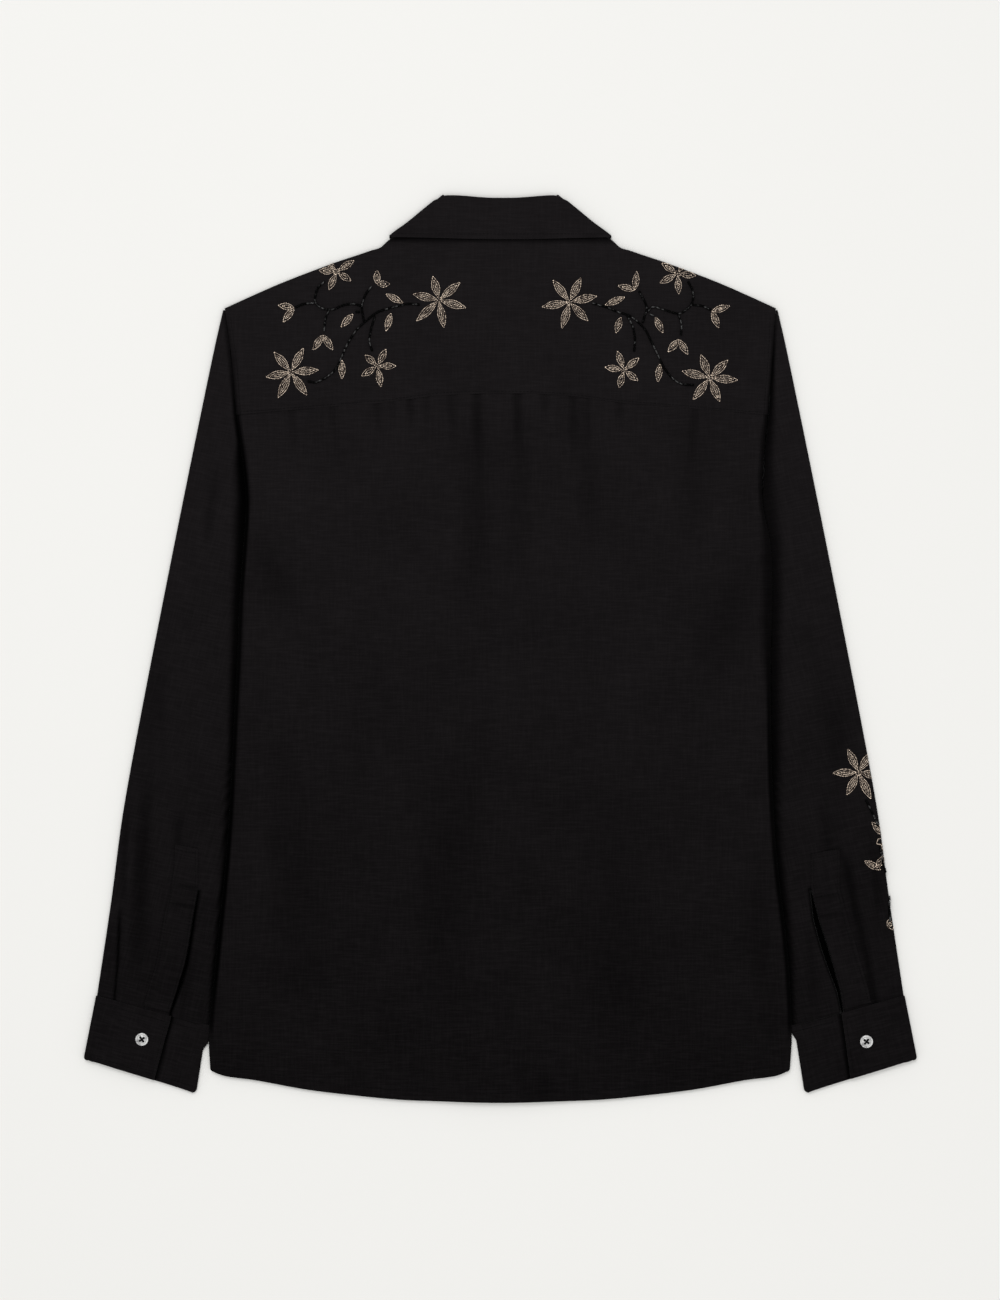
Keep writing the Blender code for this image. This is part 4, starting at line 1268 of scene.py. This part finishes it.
def stitchSleeve(side):
    heap = Heap()
    sleeve = FoldedSleeve(side)
    cut = sleeveCut
    face = cuffFace(side)
    lap = cuffCut["overlap"][side]

    def onPlacket(v, t):
        p = sleeve.flat(sleeve.shareAt(v, t * cut["placketWide"]), v)
        return side * (p.x + lookUp(cut["slit"], p.y, 3) / 2), p.y

    def sewCuff(places, fromBelow=False):
        line = curve([(side * p.x, p.y) for p in [face(u, v) for u, v in places]])
        stitchAlong(heap, line, (cuffPieces[side],), fromBelow)

    for t in (0.10, 0.92):
        shares = [mix(cut["placketTop"][side] + 0.004, 0.99, s) for s in steps(16)]
        stitchAlong(heap, curve([onPlacket(v, t) for v in shares]), (sleevePlackets[side],))
    # boxes at the band's upper end
    for v in boxShares[side]:
        stitchAlong(heap, curve([onPlacket(v, t) for t in (0.10, 0.5, 0.92)]), (sleevePlackets[side],))
    # armhole
    hole = curve([(side * (edgeOut(side, d) - 4), d) for d in (104, 141, 170, 191, 225, 250)])
    stitchAlong(heap, hole, (yokePiece, backPiece))
    # cuff: upper layer, its end, then under layer and underside
    for end, v in zip(lap, (0.08, 0.92)):
        sewCuff([(mix(0.02, end - 0.03, t), v) for t in steps(8)])
    sewCuff([(mix(*lap, v) - 0.03, v) for v in (0.08, 0.3, 0.6, 0.92)])
    for v in (0.08, 0.92):
        sewCuff([(mix(lap[0] + 0.01, 0.99, t), v) for t in steps(6)])
        sewCuff([(mix(0.01, 0.99, t), v) for t in steps(6)], True)
    heap.finish("sleeve_stitching_" + handName[side], blackThread, "thread")


stitchBody()
for hand in (-1, 1):
    stitchSleeve(hand)
print("seams stitched")


# buttons

buttonCut = {"across": 10.9, "thick": 2, "holeAcross": 2, "holeSpread": 2.9, "thread": 0.38}


def makeButtonMesh():
    r, t = buttonCut["across"] / 2, buttonCut["thick"]
    profile = ((0, 0.60 * t), (0.50 * r, 0.66 * t), (0.60 * r, 0.44 * t), (0.68 * r, 0.44 * t), (0.78 * r, 0.9 * t),
               (0.83 * r, t), (0.91 * r, 0.98 * t), (0.98 * r, 0.82 * t), (r, 0.6 * t), (0.97 * r, 0.3 * t),
               (0.88 * r, 0.06 * t), (0.8 * r, 0), (0, 0))
    around = 48
    bm = bmesh.new()
    rings = []
    for pr, pz in profile:
        if pr == 0:
            rings.append([bm.verts.new((0, 0, pz * mm))])
        else:
            angles = [2 * math.pi * k / around for k in range(around)]
            rings.append([bm.verts.new((pr * mm * math.cos(a), pr * mm * math.sin(a), pz * mm)) for a in angles])
    for low, high in zip(rings, rings[1:]):
        for k in range(around):
            n = (k + 1) % around
            if len(low) == 1:
                bm.faces.new((low[0], high[k], high[n]))
            elif len(high) == 1:
                bm.faces.new((low[n], low[k], high[0]))
            else:
                bm.faces.new((low[k], high[k], high[n], low[n]))
    bmesh.ops.recalc_face_normals(bm, faces=bm.faces)
    blank = bpy.data.meshes.new("button_blank")
    bm.to_mesh(blank)
    bm.free()
    bm = bmesh.new()
    spread, bore = buttonCut["holeSpread"] / 2 * mm, buttonCut["holeAcross"] / 2 * mm
    for sx in (-1, 1):
        for sy in (-1, 1):
            made = bmesh.ops.create_cone(bm, cap_ends=True, segments=16, radius1=bore, radius2=bore, depth=4 * t * mm)
            bmesh.ops.translate(bm, verts=made["verts"], vec=(sx * spread, sy * spread, 0))
    drill = bpy.data.meshes.new("button_drill")
    bm.to_mesh(drill)
    bm.free()
    items = [bpy.data.objects.new(mesh.name, mesh) for mesh in (blank, drill)]
    for item in items:
        bpy.context.scene.collection.objects.link(item)
    holes = items[0].modifiers.new("holes", "BOOLEAN")
    holes.operation = "DIFFERENCE"
    holes.object = items[1]
    holes.solver = "EXACT"
    bpy.context.view_layer.update()
    bored = bpy.data.meshes.new_from_object(items[0].evaluated_get(bpy.context.evaluated_depsgraph_get()))
    for item in items:
        mesh = item.data
        bpy.data.objects.remove(item, do_unlink=True)
        bpy.data.meshes.remove(mesh)
    bored.name = "button"
    bored.shade_smooth()
    bored.set_sharp_from_angle(angle=math.radians(42))
    return bored


def strand(heapVerts, heapFaces, points, radius, sides=8):
    base = len(heapVerts)
    for i, p in enumerate(points):
        ahead = (points[min(i + 1, len(points) - 1)] - points[max(i - 1, 0)]).normalized()
        side = ahead.orthogonal().normalized()
        up = ahead.cross(side)
        for k in range(sides):
            a = 2 * math.pi * k / sides
            heapVerts.append(p + side * radius * math.cos(a) + up * radius * math.sin(a))
    heapFaces += tubeFaces(len(points), sides, base)


def makeButtonThreadMesh():
    verts, faces = [], []
    spread = buttonCut["holeSpread"] / 2
    face = 0.6 * buttonCut["thick"]
    for sx in (-1, 1):
        for nudge in (-0.28, 0.28):
            points = []
            for t in steps(10):
                x, y = mix(-spread, spread, t) * sx, mix(-spread, spread, t)
                rise = math.sin(math.pi * t)
                z = face + (0.52 if sx > 0 else 0.28) * rise ** 0.5 - 0.9 * (1 - rise) ** 4
                points.append(Vector(((x + nudge) * mm, (y - sx * nudge) * mm, z * mm)))
            strand(verts, faces, points, buttonCut["thread"] * mm)
    mesh = bpy.data.meshes.new("button_thread")
    mesh.from_pydata(verts, [], faces)
    mesh.shade_smooth()
    return mesh


buttonMesh, buttonThreadMesh = makeButtonMesh(), makeButtonThreadMesh()


def setButton(node, x, down, base, turn, faceDown=False):
    for mesh, material, slot, nodes, label in ((buttonMesh, pearl, "pearl_buttons", (node,), "_pearl"),
                                               (buttonThreadMesh, blackThread, "thread", (), "_thread")):
        item = addPiece(node + label, mesh.copy(), material, slot, nodes)
        lift = base + (buttonCut["thick"] if faceDown else 0)
        item.location = toWorld(x, down, lift)
        item.rotation_euler = (math.pi if faceDown else 0, 0, turn)


for number, buttonDown in enumerate(frontButtonDowns(), 1):
    setButton("front_button_" + str(number), 0, buttonDown, 0, random.uniform(-0.3, 0.3), True)
for hand in (-1, 1):
    out, buttonDown = cuffCut["button"][hand]
    seat = cuffOverZ + cuffCut["solidWall"] / 2 + lay["seam"]
    setButton("cuff_button_" + handName[hand], hand * out, buttonDown, seat, hand * 0.15)
print("buttons set")


# bead embroidery: flowers, leaves and stems

beadWork = {"across": 0.70, "long": 0.98, "pitch": 1.34, "row": 1.60, "jitter": 0.08,
            "bugleAcross": 1.95, "bugleLong": 4, "bugleGap": 0.4}
# millimetres for each pixel of the photo, and the pixel column and row of the shirt's middle and top fold
photoScale, photoMiddle, photoTop = 0.85, 500.4, 195
beadForm = lathe(((-0.5, 0.24), (-0.28, 0.49), (0.28, 0.49), (0.5, 0.24)), 8)
bugleForm = lathe(((-0.5, 0.34), (-0.46, 0.5), (0.46, 0.5), (0.5, 0.34)), 6)


def fromPhoto(point):
    return Vector(((point[0] - photoMiddle) * photoScale, (point[1] - photoTop) * photoScale))


def beadAlong(heap, points, pieces, form=beadForm, pitch=None, size=None):
    # one bead after the other along a line of (across, down) points
    line = curve(points)
    pitch = pitch or beadWork["pitch"]
    count = max(round(line.length / pitch), 1)
    jitter = beadWork["jitter"]
    for i in range(count):
        share = (i + 0.5) / count
        p = line(share)
        ahead2 = line(min(share + 0.3 / count, 1)) - line(max(share - 0.3 / count, 0))
        if ahead2.length < 1e-6:
            continue
        spot = touch(pieces, p.x + random.uniform(-jitter, jitter), p.y + random.uniform(-jitter, jitter))
        if not spot or spot[1].z < 0.35:
            continue
        ahead = Vector((ahead2.x, -ahead2.y, 0)).normalized()
        ahead = (ahead - spot[1] * ahead.dot(spot[1])).normalized()
        across = size[1] if size else beadWork["across"] * random.uniform(0.94, 1.06)
        long = size[0] if size else beadWork["long"]
        centre = spot[0] + spot[1] * (0.42 * across * mm)
        heap.add(form, centre, ahead, spot[1], (long * mm, across * mm, across * mm))


def beadLeaf(heap, base, tip, width, pieces, blunt):
    # nested rows, pointed at both ends, widest past the middle
    base, tip = Vector(base), Vector(tip)
    ahead = tip - base
    length = ahead.length
    ahead.normalize()
    side = Vector((-ahead.y, ahead.x))
    half = (width - beadWork["across"]) / 2
    inset = 0
    while half > 0.25:
        start, end = inset * 1.5, length - inset * 2.1
        if end - start < 2:
            break
        for hand in (-1, 1):
            points = []
            for t in steps(8):
                bulge = math.sin(math.pi * t ** blunt) if t < 1 else 0
                points.append(base + ahead * mix(start, end, t) + side * hand * half * bulge ** 1.05)
            beadAlong(heap, points, pieces)
        inset += beadWork["row"]
        half -= beadWork["row"]
    if half > -0.75:
        start, end = inset * 1.5 + 0.6, length - inset * 2.1
        if end - start > 2:
            beadAlong(heap, [base + ahead * mix(start, end, t) for t in steps(3)], pieces)


def beadFlower(heap, centre, tips, width, pieces):
    centre = fromPhoto(centre)
    for tip in tips:
        tip = fromPhoto(tip)
        ahead = (tip - centre).normalized()
        beadLeaf(heap, centre + ahead * 2, tip, width, pieces, 1)
    for radius, count in ((0.1, 1), (1.35, 4), (2.5, 7)):
        for k in range(count):
            a = 2 * math.pi * k / count + radius
            p = centre + Vector((math.cos(a), math.sin(a))) * radius
            along = Vector((-math.sin(a), math.cos(a))) * 0.5
            beadAlong(heap, [p - along, p + along], pieces)


# Places in the photo's pixels, read off enlarged crops: each flower's centre, petal tips and petal
# width in millimetres, each leaf's base and tip, and points along each stem. Their forms come from the
# functions above.
sprays = {
    "left": {
        "flowers": (
            ((439, 300), ((433, 276), (460, 282.5), (466, 308), (444, 328), (416.5, 321), (413, 294)), 7.1),
            ((291, 372), ((274, 352), (303.5, 348), (318.5, 370), (307, 395.5), (278, 398), (266, 377)), 7.1),
            ((377.6, 366), ((365, 355), (386, 349), (396, 366), (381, 387), (361.5, 376)), 6),
            ((336.5, 271.5), ((319, 270.5), (324, 256), (354, 260.5), (351, 281), (329, 290)), 6)),
        "leaves": (
            ((294, 307.5), (278, 305)), ((294, 307.5), (283, 322)), ((323, 335), (313, 350)),
            ((323, 335), (333, 350)), ((377, 284), (377, 270)), ((377, 284), (390, 284)),
            ((353, 314), (341, 327)), ((386, 294), (403, 303)), ((391, 313), (386, 331)),
            ((342, 360), (342, 379))),
        "stems": (
            ((307, 381), (316, 382), (328, 376), (336.5, 368), (342, 356), (348, 343), (357, 329.5), (366, 321),
             (378, 312), (394, 307), (407, 304), (420, 304.5)),
            ((364, 322), (362, 310), (362, 304.5), (366, 294), (372, 286)),
            ((361.5, 306), (353, 304), (344, 305), (334, 309), (325, 309), (317, 304.5), (315, 299), (318, 288),
             (325, 281)),
            ((314.5, 303), (304, 304), (295, 307.5)), ((329, 310), (325.5, 319), (324, 332)),
            ((361.5, 312), (354, 312)), ((375, 316), (371, 329.5), (369.5, 341), (372.5, 351.5))),
    },
    "right": {
        "flowers": (
            ((569.7, 302), ((553, 280), (581, 277.5), (597, 296), (588, 321), (562, 328.5), (542, 307)), 7.1),
            ((709.8, 377.8), ((701, 354.5), (728, 360), (738, 380), (720, 401.5), (693, 400), (682, 371)), 7.1),
            ((624, 370), ((617.5, 351), (639, 358), (638, 380.5), (619, 388), (605, 367)), 6),
            ((677.7, 273.7), ((662, 263), (660, 283), (679, 294), (696, 275.5), (688, 257)), 6)),
        "leaves": (
            ((712, 311), (730, 306)), ((712, 311), (719, 328)), ((679, 339.5), (668, 352)),
            ((679, 339.5), (688, 354.5)), ((635, 290), (637, 271)), ((635, 290), (618, 285.5)),
            ((655.5, 317), (663, 333)), ((625, 297), (605, 305)), ((621, 317), (616, 333)),
            ((660, 364), (658, 382))),
        "stems": (
            ((592, 303), (606, 307), (618, 312), (630, 316), (639, 323), (645.5, 330), (652, 343), (658.5, 356),
             (665, 369), (673, 378.5), (682, 384), (694.5, 385)),
            ((642.5, 323), (645, 315), (647, 309), (644, 300), (639, 291)),
            ((647, 312), (653, 307), (665, 310), (679, 313.5), (687, 309), (692, 303), (693, 292), (688, 281)),
            ((693, 305), (702, 306), (711, 310)), ((678, 313.5), (681.5, 324), (681, 336)),
            ((627, 315), (633, 327), (635, 339.5), (634, 352)), ((649, 314), (655, 316))),
    },
    "sleeve": {
        "flowers": (
            ((858.7, 772.5), ((848, 749), (833, 773), (847, 795), (871, 799), (880, 776), (872, 752)), 6.9),
            ((886, 838), ((872, 822), (877, 844), (884, 852), (892, 826)), 6)),
        "leaves": (((864.5, 861), (881, 870)), ((877, 868), (884, 856)), ((888, 920), (893, 930))),
        "stems": (((866, 800), (872, 812), (878, 826)), ((880, 846), (882, 858), (885, 871), (888, 878)),
                  ((888, 880), (889, 900), (890, 922))),
    },
}


def beadSpray(name, pieces):
    spray = sprays[name]
    heap = Heap()
    for centre, tips, width in spray["flowers"]:
        beadFlower(heap, centre, tips, width, pieces)
    for base, tip in spray["leaves"]:
        beadLeaf(heap, fromPhoto(base), fromPhoto(tip), 6, pieces, 0.95)
    heap.finish("beads_" + name, champagneBead, "beads")
    stems = Heap()
    size = (beadWork["bugleLong"], beadWork["bugleAcross"])
    for points in spray["stems"]:
        beadAlong(stems, [fromPhoto(p) for p in points], pieces, bugleForm, size[0] + beadWork["bugleGap"], size)
    stems.finish("bugle_stems_" + name, jetBead, "beads")


for sprayName, ground in (("left", (yokePiece, backPiece)), ("right", (yokePiece, backPiece)),
                          ("sleeve", (sleevePieces[1],))):
    beadSpray(sprayName, ground)
print("beads sewn")


# the cloth sheets: piece, flat size, area, how each lies and what it rests on

sheets = (
    (collarPiece, (0.42, 0.068), 0.0272, "folded", ["yoke_cloth"]),
    (yokePiece, (0.47, 0.21), 0.067, "folded", ["front_cloth_left", "front_cloth_right"]),
    (backPiece, (0.50, 0.60), 0.273, "laid", ["front_cloth_left", "front_cloth_right"]),
    (frontPieces[-1], (0.235, 0.69), 0.146, "laid", ["floor"]),
    (frontPieces[1], (0.235, 0.69), 0.148, "laid", ["floor"]),
    (placketPiece, (0.03, 0.69), None, "laid", ["floor"]),
    (bandPiece, (0.03, 0.69), None, "laid", ["front_placket_cloth"]),
    (sleevePieces[-1], (0.28, 0.61), 0.131, "folded", ["floor"]),
    (sleevePieces[1], (0.28, 0.61), 0.131, "folded", ["floor"]),
    (sleevePlackets[-1], (0.0245, 0.138), None, "laid", ["sleeve_cloth_left"]),
    (sleevePlackets[1], (0.0245, 0.135), None, "laid", ["sleeve_cloth_right"]),
    (cuffPieces[-1], (0.235, 0.0545), None, "folded", ["floor"]),
    (cuffPieces[1], (0.235, 0.0545), None, "folded", ["floor"]),
)


# studio

studio = {
    "floorColor": (0.83, 0.825, 0.80, 1), "floorSize": 3,
    "camera": (-0.0003, -0.0016, 2.614), "lens": 85,
    "world": 0.70, "key": (44, (-0.7, 1.6, 3.4), 1.6), "fill": (20, (0.7, -1.3, 3.2), 2.2),
}


def makeStudio():
    mesh = bpy.data.meshes.new("floor")
    s = studio["floorSize"] / 2
    mesh.from_pydata([(-s, -s, -0.0002), (s, -s, -0.0002), (s, s, -0.0002), (-s, s, -0.0002)], [], [(0, 1, 2, 3)])
    floor = bpy.data.objects.new("floor", mesh)
    bpy.context.scene.collection.objects.link(floor)
    darker = tuple(c * 0.995 for c in studio["floorColor"][:3]) + (1,)
    paper = newMaterial(
        "studioPaper", cloudedPearl,
        {"Cloud Size": 2, "Light Color": studio["floorColor"], "Dark Color": darker,
         "Gloss Low": 0.85, "Gloss High": 0.95},
        (0.02, 0.0001), {"Specular IOR Level": 0.1})
    mesh.materials.append(paper)
    for name in ("key", "fill"):
        power, place, size = studio[name]
        lamp = bpy.data.lights.new(name, "AREA")
        lamp.energy = power
        lamp.shape = "SQUARE"
        lamp.size = size
        item = bpy.data.objects.new(name, lamp)
        item.location = place
        item.rotation_euler = (-Vector(place)).to_track_quat("-Z", "Y").to_euler()
        bpy.context.scene.collection.objects.link(item)
    world = bpy.data.worlds.new("studio")
    world.use_nodes = True
    world.node_tree.nodes["Background"].inputs["Color"].default_value = (1, 1, 1, 1)
    world.node_tree.nodes["Background"].inputs["Strength"].default_value = studio["world"]
    bpy.context.scene.world = world
    eye = bpy.data.cameras.new("camera")
    eye.lens = studio["lens"]
    eye.sensor_width = 36
    item = bpy.data.objects.new("camera", eye)
    item.location = studio["camera"]
    bpy.context.scene.collection.objects.link(item)
    bpy.context.scene.camera = item
    bpy.context.scene.view_settings.view_transform = "Standard"


makeStudio()
for piece, flat, area, held, restsOn in sheets:
    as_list(restsOn)
print("studio ready")
